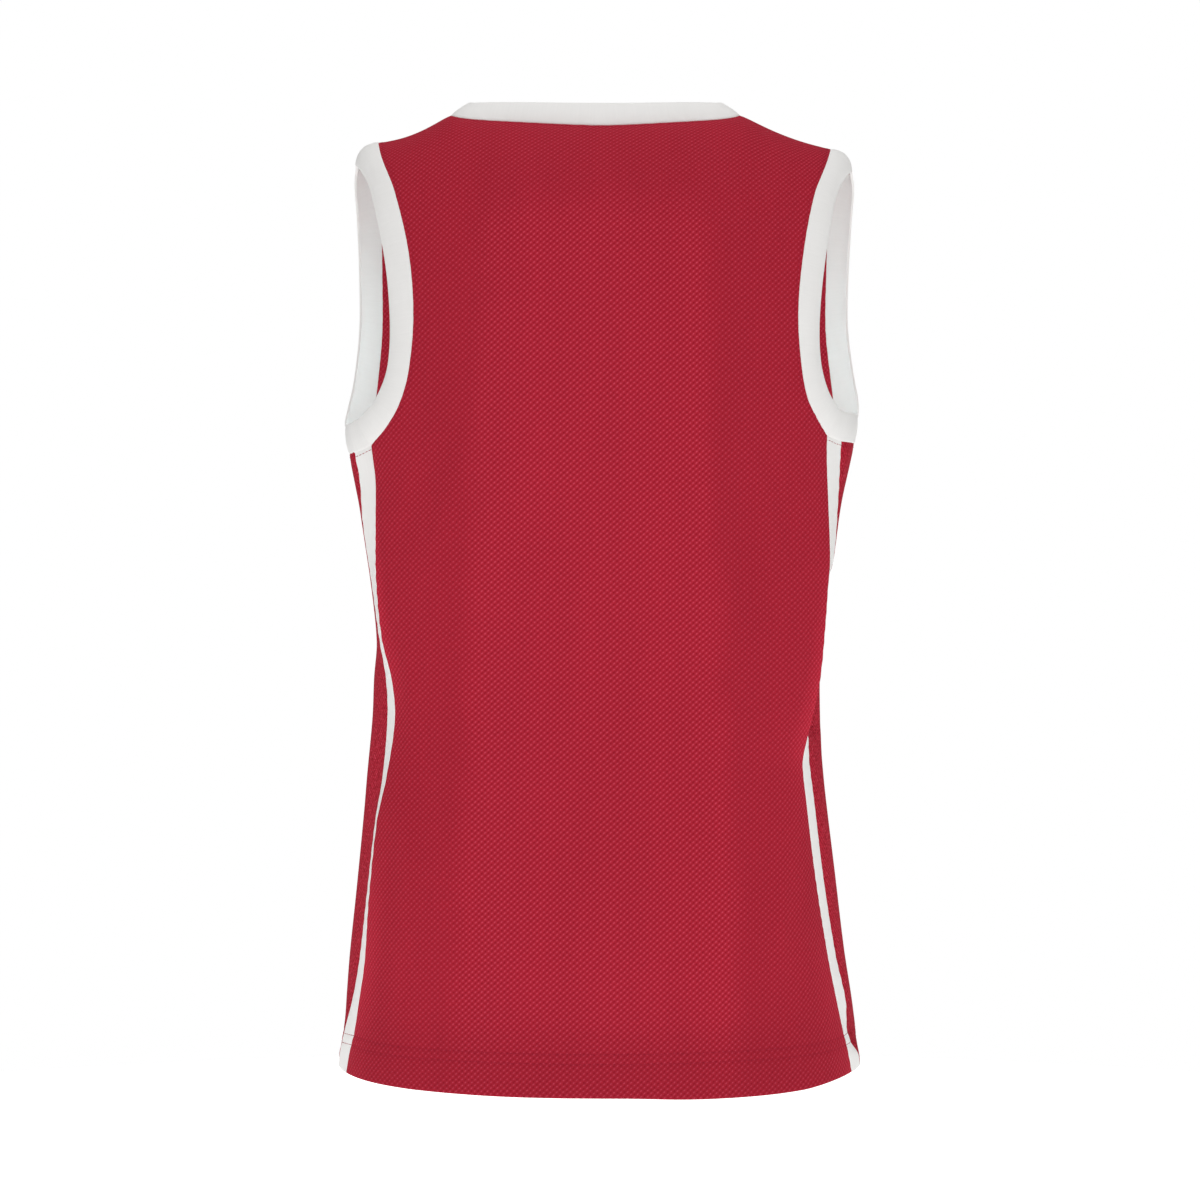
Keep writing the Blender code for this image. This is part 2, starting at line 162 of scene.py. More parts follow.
# Depth of each panel at its centre and its side edge, and how much of the fall is a late turn.
BACK_FORM = Table(
    "height centre edge turn",
    (-0.7195, 0.133, 0.04, 0.38), (-0.6, 0.12, 0.05, 0.42), (-0.5, 0.106, 0.058, 0.48),
    (-0.42, 0.099, 0.06, 0.5), (-0.33, 0.103, 0.061, 0.42), (-0.2455, 0.112, 0.063, 0.32),
    (-0.15, 0.1165, 0.065, 0.25), (0.02, 0.114, 0.075, 0.2),
)
FRONT_FORM = Table(
    "height centre edge turn",
    (-0.7195, 0.12, 0.042, 0.35), (-0.55, 0.114, 0.054, 0.4), (-0.42, 0.111, 0.058, 0.4),
    (-0.33, 0.114, 0.06, 0.3), (-0.242, 0.119, 0.062, 0.25), (-0.17, 0.121, 0.076, 0.2),
    (-0.1, 0.121, 0.088, 0.15), (0.02, 0.118, 0.1, 0.1),
)

# Each side: back seam, compass heading of its stripe (90 is straight forward), widest point.
LEFT_BODY = Table(
    "height seam heading widest",
    (-0.7195, 0.1915, 62, 0.1985), (-0.7052, 0.1892, 58, 0.1975), (-0.6961, 0.1874, 58, 0.1963),
    (-0.6863, 0.185, 57, 0.195), (-0.6636, 0.1815, 67, 0.1942), (-0.6334, 0.177, 71, 0.1921),
    (-0.5842, 0.1734, 80, 0.187), (-0.5247, 0.1667, 82, 0.1812), (-0.4949, 0.16, 76, 0.1787),
    (-0.4503, 0.1533, 65, 0.1745), (-0.4205, 0.1556, 70, 0.1733), (-0.3908, 0.1628, 79, 0.1708),
    (-0.3461, 0.1672, 72, 0.1738), (-0.3015, 0.1675, 47, 0.1803), (-0.2717, 0.1675, 37, 0.1872),
    (-0.2455, 0.1705, 30, 0.1917), (-0.21, 0.1717, 45, 0.1928), (0.02, 0.172, 45, 0.1928),
)
RIGHT_BODY = Table(
    "height seam heading widest",
    (-0.7195, 0.1899, 58, 0.198), (-0.7052, 0.1874, 57, 0.1972), (-0.6961, 0.1856, 71.5, 0.1965),
    (-0.6863, 0.1832, 75, 0.1957), (-0.6636, 0.1784, 61, 0.1925), (-0.6288, 0.1713, 64, 0.1872),
    (-0.5693, 0.1616, 64, 0.1801), (-0.5098, 0.1541, 64, 0.1728), (-0.483, 0.1514, 67, 0.1703),
    (-0.473, 0.153, 75, 0.1698), (-0.464, 0.1549, 84.5, 0.1695), (-0.455, 0.1573, 102, 0.1691),
    (-0.4205, 0.1644, 112, 0.1688), (-0.3759, 0.1686, 108, 0.1708), (-0.352, 0.1702, 97, 0.1726),
    (-0.3312, 0.1718, 77, 0.1756), (-0.2866, 0.1703, 57, 0.1843), (-0.2568, 0.1692, 46, 0.1914),
    (-0.2383, 0.1694, 42, 0.195), (-0.2, 0.1712, 46, 0.196), (0.02, 0.1716, 46, 0.196),
)

# How far the hem's edge lies above the hem's height, by place across a panel.
HEM_LINE = Table(
    "across rise",
    (-1, 0.0037), (-0.94, 0.003), (-0.87, 0.0016), (-0.79, 0), (-0.6, -0.0014), (-0.35, -0.0014),
    (-0.1, 0.0004), (0.4, 0.0006), (0.7, 0.0016), (0.87, 0.0026), (1, 0.003),
)

# How far each armhole is cut in from the line of its body seam, by share of its height.
ARMHOLES = Table(
    "share back_left back_right front_left front_right",
    (0, 0, 0, 0, 0), (0.05, 0.0119, 0.0081, 0.0004, -0.001),
    (0.12, 0.0227, 0.0171, 0.0012, -0.0016), (0.22, 0.0302, 0.0221, 0.0035, 0.0003),
    (0.4, 0.0343, 0.025, 0.0069, 0.004), (0.6, 0.0306, 0.021, 0.0076, 0.0042),
    (0.8, 0.019, 0.0118, 0.0084, 0.0044), (0.92, 0.0077, 0.001, 0.0097, 0.0055),
    (1, 0.002, -0.0055, 0.0108, 0.0069),
)

# Armhole band, from its seam to its free edge. Stations: 0 shoulder, 1 back corner, 2 front corner.
ARM_BAND = Table(
    "station out back up bulge",
    (0, 0.0168, 0, -0.017, 0.0048), (0.1, 0.014, -0.012, -0.008, 0.003),
    (0.25, 0.0168, -0.016, -0.005, 0.0025), (0.45, 0.0178, -0.0175, -0.003, 0.002),
    (0.6, 0.0174, -0.018, -0.002, 0.002), (0.77, 0.0158, -0.0165, 0.002, 0.002),
    (0.88, 0.0163, -0.0145, 0.007, 0.002), (1, 0.01, -0.01, 0.019, 0.002),
    (1.33, 0.0045, -0.008, 0.021, 0.0015), (1.5, 0.0035, 0, 0.0225, 0.001),
    (1.67, 0.0075, 0.006, 0.022, 0.0015), (2, 0.02, 0.011, 0.018, 0.002),
    (2.08, 0.018, 0.014, 0.012, 0.002), (2.18, 0.0157, 0.0165, 0.007, 0.002),
    (2.5, 0.015, 0.0195, 0, 0.002), (2.8, 0.0167, 0.015, -0.006, 0.0028),
    (2.93, 0.0188, 0.008, -0.0112, 0.0036), (3, 0.0168, 0, -0.017, 0.0048),
)

# Neckband, by angle round the neck from the centre back to the centre front.
NECK_BAND = Table(
    "angle inward up bulge",
    (0, 0.008, 0.0177, 0.001), (30, 0.0085, 0.016, 0.001), (60, 0.011, 0.0137, 0.0006),
    (90, 0.0143, 0.009, 0.0008), (105, 0.0148, 0.0083, 0.0016), (120, 0.014, 0.0108, 0.0015),
    (150, 0.0113, 0.016, 0.0014), (180, 0.0092, 0.0177, 0.001),
)

# Folds and creases: middle, top, bottom, lean, width and how proud they are (troughs negative).
BACK_FOLDS = (
    (0.0775, -0.22, -0.4, -0.05, 0.022, 0.003), (-0.027, -0.225, -0.38, 0, 0.02, 0.0028),
    (-0.076, -0.26, -0.42, 0.04, 0.022, 0.003), (0.048, -0.23, -0.44, 0.02, 0.02, -0.0025),
    (-0.11, -0.24, -0.4, 0.03, 0.024, -0.003), (0.135, -0.42, -0.56, 0.06, 0.016, -0.003),
    (0.01, -0.52, -0.68, 0.1, 0.04, 0.0025),
)
FRONT_FOLDS = (
    (0.062, -0.2, -0.42, 0.05, 0.024, 0.003), (-0.05, -0.22, -0.46, -0.04, 0.026, 0.0032),
    (0.005, -0.3, -0.56, 0.03, 0.024, -0.0028), (-0.112, -0.38, -0.62, 0.03, 0.026, 0.003),
    (0.115, -0.4, -0.64, -0.03, 0.026, -0.0028),
)
BACK_CREASES = (
    (0.1135, -0.23, -0.36, -0.3, 0.008, 0.0024), (0.136, -0.235, -0.35, -0.36, 0.009, -0.002),
    (-0.118, -0.215, -0.33, 0.3, 0.009, 0.0018), (-0.133, -0.235, -0.345, 0.26, 0.008, -0.0016),
    (0.141, -0.37, -0.515, 0.03, 0.005, 0.003), (0.156, -0.5, -0.61, 0.12, 0.007, -0.0016),
    (-0.147, -0.33, -0.49, 0, 0.005, 0.0014), (-0.134, -0.51, -0.67, 0, 0.005, 0.0014),
    (-0.132, -0.56, -0.64, 0.05, 0.01, 0.0012), (0.015, -0.3, -0.4, 0.06, 0.012, -0.0009),
    (-0.052, -0.18, -0.3, 0.03, 0.011, -0.0009), (0.095, -0.54, -0.65, 0.1, 0.014, -0.001),
    (-0.08, -0.59, -0.69, -0.06, 0.013, 0.0009),
)
FRONT_CREASES = (
    (-0.118, -0.2, -0.33, 0.34, 0.01, 0.0016), (-0.135, -0.225, -0.35, 0.3, 0.01, -0.0014),
    (0.12, -0.205, -0.325, -0.3, 0.01, 0.0015), (0.136, -0.23, -0.345, -0.27, 0.009, -0.0013),
    (0.025, -0.16, -0.29, 0.08, 0.012, -0.001), (-0.082, -0.47, -0.6, 0.1, 0.012, 0.0012),
    (0.07, -0.5, -0.64, -0.08, 0.013, 0.0012), (0.148, -0.4, -0.5, 0.1, 0.008, -0.0012),
    (-0.15, -0.42, -0.52, -0.1, 0.008, 0.0012), (-0.03, -0.54, -0.68, 0.05, 0.015, -0.001),
)


# One side: where its shoulder line starts and ends, how it falls, and its seams under the arm.
Side = namedtuple("Side", "name sign neck tip fall ease band_reach body under_arm")
LEFT = Side("left", sign=1, neck=0.1137, tip=0.1700, fall=0.7393, ease=6.16, band_reach=1.0,
            body=LEFT_BODY, under_arm=Table("place height", (0, -0.2455), (1, -0.2505),
                                            (1.5, -0.2488), (2, -0.2465), (3, -0.2420)))
RIGHT = Side("right", sign=-1, neck=0.1066, tip=0.1771, fall=0.5955, ease=3.09, band_reach=0.92,
             body=RIGHT_BODY, under_arm=Table("place height", (0, -0.2383), (1, -0.2418),
                                              (1.5, -0.2405), (2, -0.2390), (3, -0.2350)))
SIDES = (LEFT, RIGHT)

# The back or the front: which way it faces, its form, and how it closes over the shoulder.
Panel = namedtuple("Panel", "name facing form folds start power root corner_place "
                            "neck_drop neck_power neck_wave")
BACK = Panel("back", facing=1, form=BACK_FORM, folds=BACK_FOLDS + BACK_CREASES, start=-0.16,
             power=3.0, root=0.5, corner_place=0.0, neck_drop=0.0161, neck_power=1.15,
             neck_wave=0.0011)
FRONT = Panel("front", facing=-1, form=FRONT_FORM, folds=FRONT_FOLDS + FRONT_CREASES, start=-0.24,
              power=2.0, root=0.62, corner_place=3.0, neck_drop=0.0960, neck_power=1.7,
              neck_wave=0.0)

# Places up the body from the hem to just under the armpit, closer together in the hem.
HEM_SHARE = HEM_ZONE / (BACK.start - HEM_HEIGHT)
BODY_CLIMBS = np.concatenate([np.linspace(0, HEM_SHARE, HEM_ROWS, endpoint=False),
                              np.linspace(HEM_SHARE, 1, BODY_ROWS, endpoint=False)])


def eased(share):
    return (1 - np.cos(math.pi * share)) / 2


def by_side(across, work):
    """work(side, distance from the middle) for the side that each point lies on."""
    away = np.abs(across)
    return np.where(across >= 0, work(LEFT, away), work(RIGHT, away))


def crest_height(side, across):
    """Height of the shoulder seam, carried on level across the neck."""
    beyond = across - side.neck
    ramp = (beyond + np.hypot(beyond, NECK_ROUNDING)) / 2 - NECK_ROUNDING / 2
    return NECK_POINT_HEIGHT - side.fall * ramp + side.ease * np.maximum(beyond, 0.0) ** 2


def seam_across(panel, side, height):
    """Distance of a panel's body seam from the middle, carried straight up above the armpit."""
    if panel is BACK:
        return side.body.read("seam", height)
    return side.body.read("widest", height) - FRONT_SEAM_INSET


def closing(panel, side, across, height):
    """How far the cloth still stands off the shoulder line: 1 on the body, 0 at its seam."""
    rise = (height - panel.start) / (crest_height(side, across) - panel.start)
    rise = np.clip(rise, 0.0, 1.0)
    return np.maximum(1.0 - rise ** panel.power, 0.0) ** panel.root


def fold_lift(panel, across, height):
    lift = np.zeros(np.broadcast(across, height).shape)
    for middle, top, bottom, lean, width, proud in panel.folds:
        share = np.clip((height - bottom) / (top - bottom), 0.0, 1.0)
        line = middle + lean * (height - (top + bottom) / 2)
        swell = np.maximum(np.sin(math.pi * share), 0.0) ** FOLD_SWELL
        lift = lift + proud * swell * np.exp(-(((across - line) / width) ** 2))
    return lift


def on_panel(panel, across, height):
    """Points of the back's or the front's form at signed distances across and heights."""
    across, height = np.broadcast_arrays(np.asarray(across, float), np.asarray(height, float))
    reach = by_side(across, lambda side, away: away / seam_across(panel, side, height))
    stand = by_side(across, lambda side, away: closing(panel, side, away, height))
    turn = panel.form.read("turn", height)
    centre = panel.form.read("centre", height)
    fall = centre - panel.form.read("edge", height)
    depth = centre - fall * ((1 - turn) * reach ** 2 + turn * reach ** TURN_POWER)
    depth = depth + fold_lift(panel, across, height) * (1 - np.minimum(reach, 1.0) ** FOLD_FADE)
    return np.stack([across, panel.facing * depth * stand, height], axis=-1)


def crowded(share):
    """Columns lie closer together towards a panel's side edges, where it turns."""
    return np.sin(share * EDGE_CROWDING * math.pi / 2) / math.sin(EDGE_CROWDING * math.pi / 2)


def armhole_edge(panel, side, height, rise):
    """Distance of an armhole's seam from the middle."""
    return seam_across(panel, side, height) - ARMHOLES.read(f"{panel.name}_{side.name}", rise)


def shoulder_tip(panel, side):
    """Distance of a panel's upper corner from the middle."""
    return armhole_edge(panel, side, crest_height(side, side.tip), 1.0)


def top_edge(panel, share):
    """Distance and height of a panel's upper edge: its neckline, then its shoulder seam."""
    away = np.abs(share)
    angle = np.minimum(away / NECK_SHARE, 1.0) * math.pi / 2
    run = np.maximum((away - NECK_SHARE) / (1 - NECK_SHARE), 0.0)
    drop = panel.neck_drop * np.maximum(np.cos(angle), 0.0) ** panel.neck_power
    wave = np.sin(2 * math.pi * (angle * 2 / math.pi) ** NECK_WAVE_POWER)
    neckline = NECK_POINT_HEIGHT - drop + panel.neck_wave * wave
    across = by_side(share, lambda side, _: np.where(
        away < NECK_SHARE, side.neck * np.sin(angle),
        side.neck + (shoulder_tip(panel, side) - side.neck) * run))
    shoulder = by_side(share, lambda side, _: crest_height(side, across))
    return across, np.where(away < NECK_SHARE, neckline, shoulder)


def hem_rise(across, height):
    """How far the hem's edge lifts the cloth just over it, at a place across a panel (-1 to 1)."""
    fade = np.clip(1 - (height - HEM_HEIGHT) / HEM_RISE_FADE, 0.0, 1.0)
    return HEM_LINE.read("rise", across) * fade ** 2


def panel_points(panel, share, climb):
    """Points of a panel by place across (-1 to 1) and climb (0 hem, 1 armpit, 2 top)."""
    share, climb = np.broadcast_arrays(np.asarray(share, float), np.asarray(climb, float))
    column = crowded(np.abs(share))
    sign = np.where(share >= 0, 1.0, -1.0)
    lean = (share + 1) / 2
    left, right = (side.under_arm.read("height", panel.corner_place) for side in SIDES)
    corner = left * lean + right * (1 - lean)
    low = HEM_HEIGHT + (corner - HEM_HEIGHT) * np.minimum(climb, 1.0)
    low_across = by_side(share, lambda side, _: column * seam_across(panel, side, low))
    low = low + hem_rise(sign * column, low)
    rise = eased(np.clip(climb - 1, 0.0, 1.0))
    top_across, top_height = top_edge(panel, share)

    def upper(side, _):
        edge_height = corner + (crest_height(side, side.tip) - corner) * rise
        mixed = column * (1 - rise ** 2) + top_across / shoulder_tip(panel, side) * rise ** 2
        return armhole_edge(panel, side, edge_height, rise) * mixed

    above = climb > 1
    across = sign * np.where(above, by_side(share, upper), low_across)
    return on_panel(panel, across, np.where(above, corner + (top_height - corner) * rise, low))


def length_of(vectors):
    return np.linalg.norm(vectors, axis=-1, keepdims=True)


def unit(vectors):
    return vectors / np.maximum(length_of(vectors), LEAST_LENGTH)


def level_way(way, run):
    """Way scaled to the run, and short enough that the cloth never swings out past its widest."""
    slant = np.maximum(np.abs(way[..., :1]), LEAST_SLANT)
    return way * np.minimum(length_of(run), 2 * np.abs(run[..., :1]) / slant)


def side_points(side, place, climb):
    """Points between the back seam (place 0) and the front seam (place 3), by climb from the hem
    (0) to the armpit (1). The side panel lies from place 1 to place 2, between the stripes."""
    height = HEM_HEIGHT + (side.under_arm.read("height", place) - HEM_HEIGHT) * climb
    corner = min(place, 3 - place, 1.0) ** 2 * CORNER_RISE
    height = height + hem_rise(side.sign, height) * (1 + corner / HEM_LINE.read("rise", side.sign))
    level = np.zeros_like(height)

    def stripe(panel, heading):
        """A body seam, the other edge of its stripe, and the way across."""
        seam = on_panel(panel, side.sign * seam_across(panel, side, height), height)
        way = np.stack([panel.facing * side.sign * np.cos(heading), -np.sin(heading), level], -1)
        return seam, seam + panel.facing * way * STRIPE_WIDTH, way

    back_seam, back_edge, back_way = stripe(BACK, np.radians(side.body.read("heading", height)))
    front_seam, front_edge, front_way = stripe(FRONT, level + math.radians(FRONT_STRIPE_HEADING))
    if place <= 1:
        return back_seam + (back_edge - back_seam) * place
    if place >= 2:
        return front_edge + (front_seam - front_edge) * (place - 2)
    widest = side.sign * side.body.read("widest", height)
    widest = np.stack([widest, level + WIDEST_DEPTH, height], axis=-1)
    forward = np.array([0.0, -1.0, 0.0])
    if place <= 1.5:
        run = widest - back_edge
        return hermite(back_edge, level_way(back_way, run), widest, forward * length_of(run),
                       2 * place - 2)
    run = front_edge - widest
    return hermite(widest, forward * length_of(run), front_edge, level_way(front_way, run),
                   2 * place - 3)


def arm_seam(side, steps):
    """Stations and points round an armhole's seam: down the back, under the arm, up the front."""
    share = np.arange(steps) / steps
    under = 3 * np.arange(steps // 3) / (steps // 3)
    stations = [1 - eased(1 - share), 1 + under / 3, 2 + eased(share)]
    points = [panel_points(BACK, side.sign, 2 - share),
              [side_points(side, place, 1.0) for place in under],
              panel_points(FRONT, side.sign, 1 + share)]
    return np.concatenate(stations), np.concatenate(points)


def neck_seam(steps):
    """Angles and points round the neck's seam, across the back to the right, home by the front."""
    share = NECK_SHARE * (1 - 2 * np.arange(steps) / steps)
    angle = np.abs(share) / NECK_SHARE * 90
    points = [panel_points(BACK, share, 2.0), panel_points(FRONT, -share, 2.0)]
    return np.concatenate([angle, 180 - angle]), np.concatenate(points)


# Cloth grids: points, outward normals and distances on a sheet, and what sewing does to its edges.
def grid_normals(points, outward, ring):
    """Normals of a grid of points, all turned to the side that outward points to."""
    if ring:
        along = np.roll(points, -1, axis=1) - np.roll(points, 1, axis=1)
    else:
        along = np.gradient(points, axis=1)
    normals = unit(np.cross(along, np.gradient(points, axis=0)))
    flipped = np.sum(normals * outward) < 0
    return (-normals if flipped else normals), flipped


def smooth_ring(values, times):
    for _ in range(times):
        values = (np.roll(values, 1, axis=0) + 2 * values + np.roll(values, -1, axis=0)) / 4
    return values


def run_lengths(points, axis):
    """Length along the grid from its first line."""
    steps = np.linalg.norm(np.diff(points, axis=axis), axis=-1)
    start = np.zeros_like(np.take(steps, [0], axis=axis))
    return np.concatenate([start, np.cumsum(steps, axis=axis)], axis=axis)


def line_at(keys, level, points, normals):
    """Points and normals of each column of a grid, read where its keys reach a level."""
    points, normals = (np.array([[np.interp(level, keys[:, column], values[:, column, axis])
                                  for axis in range(3)] for column in range(keys.shape[1])])
                       for values in (points, normals))
    return points, unit(normals)


class Cloth:
    """A grid of points with its cut, ready for the sewing and the wall."""

    def __init__(self, points, outward, cut, girth=0.0):
        self.points = points
        self.girth = girth
        self.cut = cut
        self.normals, self.flipped = grid_normals(points, outward, girth > 0)

    def sink(self, depth):
        self.points = self.points - self.normals * depth[..., None]

    def edge_distances(self, seams):
        """Distance of each point from the nearest sewn edge, and the way on the cloth from it."""
        nearest = np.full(self.points.shape[:2], 1.0)
        way = np.zeros(self.points.shape)
        for name in seams:
            axis = 0 if name.endswith("row") else 1
            lengths = run_lengths(self.points, axis)
            inner = np.gradient(self.points, axis=axis)
            if name.startswith("last"):
                lengths = np.take(lengths, [-1], axis=axis) - lengths
                inner = -inner
            closer = lengths < nearest
            nearest = np.where(closer, lengths, nearest)
            way = np.where(closer[..., None], unit(inner), way)
        return nearest, way

    def sew(self, seams, sewing, phase):
        """Turn the sewn edges in, and let the cloth beside them pucker a little."""
        distance, way = self.edge_distances(seams)
        roll = np.maximum(1 - distance / sewing.roll_reach, 0.0) ** 2
        beside = np.exp(-((distance / sewing.pucker_reach) ** 2))
        along = self.cut[..., 0] + self.cut[..., 1]
        drift = PUCKER_DRIFT * np.sin(along * PUCKER_DRIFT_RATE + phase)
        ripple = np.sin(along * 2 * math.pi / sewing.pucker_pitch + phase + drift)
        swell = PUCKER_SWELL * np.sin(along * PUCKER_SWELL_RATE + 2 * phase)
        ripple = ripple * (1 - PUCKER_SWELL + swell)
        self.sink(sewing.roll_depth * roll + sewing.seam_sink * beside
                  - sewing.pucker_depth * ripple * beside)
        self.points = self.points - way * (sewing.seam_bite * roll)[..., None]

    def press_hem(self, sewing):
        """Sink the hem a little along its stitch rows, so that it swells between and below them."""
        height = self.points[..., 2] - HEM_HEIGHT
        sink = sum(np.exp(-(((height - row) / sewing.row_reach) ** 2))
                   for row in (sewing.hem_row_low, sewing.hem_row_high))
        along = self.cut[..., 0]
        drift = ROW_DRIFT * np.sin(along * ROW_DRIFT_RATE)
        ripple = 1 + ROW_SWELL * np.sin(along * 2 * math.pi / ROW_SWELL_PITCH + drift)
        self.sink(sewing.row_sink * sink * ripple)

    def turn_up_hem(self, sewing):
        """Carry the cloth round the hem's fold and up inside it."""
        layer = sewing.hem_layer
        half = -self.normals[0] * layer / 2
        down = np.array([0.0, 0.0, -1.0]) * layer / 2
        rows, cuts = [], []
        lengths = run_lengths(self.points, 0)
        for height in sewing.hem_turn_up * (1 - np.arange(HEM_LAYER_ROWS) / HEM_LAYER_ROWS):
            line, normals = line_at(lengths, height, self.points, self.normals)
            rows.append(line - normals * layer)
            cuts.append(self.cut[0] - np.array([0.0, height]))
        for turn in np.radians(HEM_FOLD_TURNS):
            rows.append(self.points[0] + half + half * math.cos(turn) + down * math.sin(turn))
            cuts.append(self.cut[0])
        self.points = np.concatenate([np.array(rows), self.points])
        self.cut = np.concatenate([np.array(cuts), self.cut])


def shares_with_edges(count, edge_lines):
    """Even places from 0 to 1, with a few more lines close to both ends."""
    inner = np.linspace(0.0, 1.0, count + 1)[1:-1]
    lines = np.array([0.0, *edge_lines])
    clear = lines[-1] * EDGE_CLEARANCE
    inner = inner[(inner > clear) & (inner < 1 - clear)]
    return np.concatenate([lines, inner, 1 - lines[::-1]])


def between(values, row, column):
    """Values of a grid read between its lines."""
    row = np.clip(row, 0, values.shape[0] - 1 - CELL_MARGIN)
    column = np.clip(column, 0, values.shape[1] - 1 - CELL_MARGIN)
    r = row.astype(int)
    c = column.astype(int)
    a = row - r
    b = column - c
    low = values[r, c] * (1 - b) + values[r, c + 1] * b
    high = values[r + 1, c] * (1 - b) + values[r + 1, c + 1] * b
    return low * (1 - a) + high * a


def panel_cut(panel, points):
    """Flat place of each point in the cut panel: distance round the body and length down it."""
    across, _, height = np.moveaxis(points, -1, 0)
    widths = np.linspace(-CUT_REACH, CUT_REACH, CUT_COLUMNS + 1)
    levels = np.linspace(HEM_HEIGHT, panel.start, CUT_ROWS + 1)
    round_body = run_lengths(on_panel(panel, widths[None, :], levels[:, None]), 1)
    round_body = round_body - round_body[:, [CUT_COLUMNS // 2]]
    rises = np.linspace(0.0, 1.0, CUT_RISES + 1)
    heights = panel.start + (by_side(widths, crest_height) - panel.start) * rises[:, None]
    over = run_lengths(on_panel(panel, widths[None, :], heights), 0)
    column = (across + CUT_REACH) / (2 * CUT_REACH) * CUT_COLUMNS
    level = (np.minimum(height, panel.start) - HEM_HEIGHT) / (panel.start - HEM_HEIGHT) * CUT_ROWS
    rise = (height - panel.start) / (by_side(across, crest_height) - panel.start)
    rise = np.clip(rise, 0.0, 1.0) * CUT_RISES
    v = np.where(height > panel.start, panel.start + between(over, rise, column), height)
    return np.stack([between(round_body, level, column), v], axis=-1)


def panel_cloth(panel):
    share = shares_with_edges(PANEL_COLUMNS, EDGE_LINES / PANEL_SPAN / 2) * 2 - 1
    above = [np.linspace(0, 1, ARM_ROWS)[:-1], 1 - EDGE_LINES[::-1] / ARM_SPAN, [1.0]]
    climb = np.concatenate([BODY_CLIMBS, 1 + np.concatenate(above)])
    points = panel_points(panel, share[None, :], climb[:, None])
    return Cloth(points, np.array([0.0, panel.facing, 0.0]), panel_cut(panel, points))


def strip_cloth(side, first, columns, width):
    """A stripe or side panel, from the hem to the armhole."""
    share = shares_with_edges(columns, EDGE_LINES / width)
    climb = np.concatenate([BODY_CLIMBS, 1 - EDGE_LINES[::-1] / BODY_SPAN, [1.0]])
    points = np.stack([side_points(side, first + value, climb) for value in share], axis=1)
    lengths = run_lengths(points, 1)
    u = lengths - lengths[:, [-1]] / 2 + side.sign * SIDE_CUT_PLACE
    cut = np.stack([u, points[..., 2]], axis=-1)
    return Cloth(points, np.array([float(side.sign), 0.0, 0.0]), cut)


def way_along(seam):
    along = unit(np.roll(seam, -1, axis=0) - np.roll(seam, 1, axis=0))
    return unit(smooth_ring(along, BAND_WAY_SMOOTHING))


def band_cloth(seam, along, offset, bulge, turn):
    """A band round an opening, from its seam (first row) to its free edge."""
    free = smooth_ring(seam + offset, BAND_EDGE_SMOOTHING)
    outward = unit(np.cross(free - seam, along)) * turn
    middle = (seam + free) / 2 + outward * 2 * bulge[:, None]
    share = BAND_SHARES[:, None, None]
    points = ((seam * (1 - share) + middle * share) * (1 - share)
              + (middle * (1 - share) + free * share) * share)
    around = run_lengths(np.concatenate([seam, seam[:1]]), 0)
    up = run_lengths(points, 0)
    cut = np.stack([np.broadcast_to(around[:-1], up.shape), up], axis=-1)
    return Cloth(points, outward, cut, girth=around[-1])


def arm_band_cloth(side):
    stations, seam = arm_seam(side, BAND_STEPS)
    reach = side.band_reach + (1 - side.band_reach) / 2 * np.clip(stations - 1, 0.0, 1.0)
    out, back, up, bulge = (ARM_BAND.read(column, stations) for column in ARM_BAND.names[1:])
    offset = np.stack([side.sign * reach * out, back, up], axis=-1)
    return band_cloth(seam, way_along(seam), offset, bulge, side.sign)


def neck_band_cloth():
    angles, seam = neck_seam(BAND_STEPS)
    along = way_along(seam)
    inward, up, bulge = (NECK_BAND.read(column, angles)[:, None] for column in NECK_BAND.names[1:])
    lean = unit(np.stack([-along[:, 1], along[:, 0], np.zeros(len(along))], axis=-1)) * inward
    lean = lean + np.array([0.0, 0.0, 1.0]) * up
    offset = lean - along * np.sum(lean * along, axis=-1, keepdims=True)
    return band_cloth(seam, along, offset, bulge[:, 0], -1)


# Blender objects from cloth grids.
def deselect():
    bpy.ops.object.select_all(action="DESELECT")


def in_edit_mode(*steps):
    """Runs modelling steps on the whole active mesh."""
    bpy.ops.object.mode_set(mode="EDIT")
    bpy.ops.mesh.select_all(action="SELECT")
    for step in steps:
        step()
    bpy.ops.object.mode_set(mode="OBJECT")


def apply_modifier(made, kind, **settings):
    modifier = made.modifiers.new(kind.lower(), kind)
    for name, setting in settings.items():
        setattr(modifier, name, setting)
    bpy.ops.object.modifier_apply(modifier=modifier.name)


def dressed(made, name, finish):
    """Names and finishes a piece, and lets it ride with the garment."""
    made.name = made.data.name = name
    made.data.materials.append(finish)
    made.data.shade_smooth()
    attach(made, "root")
    return made


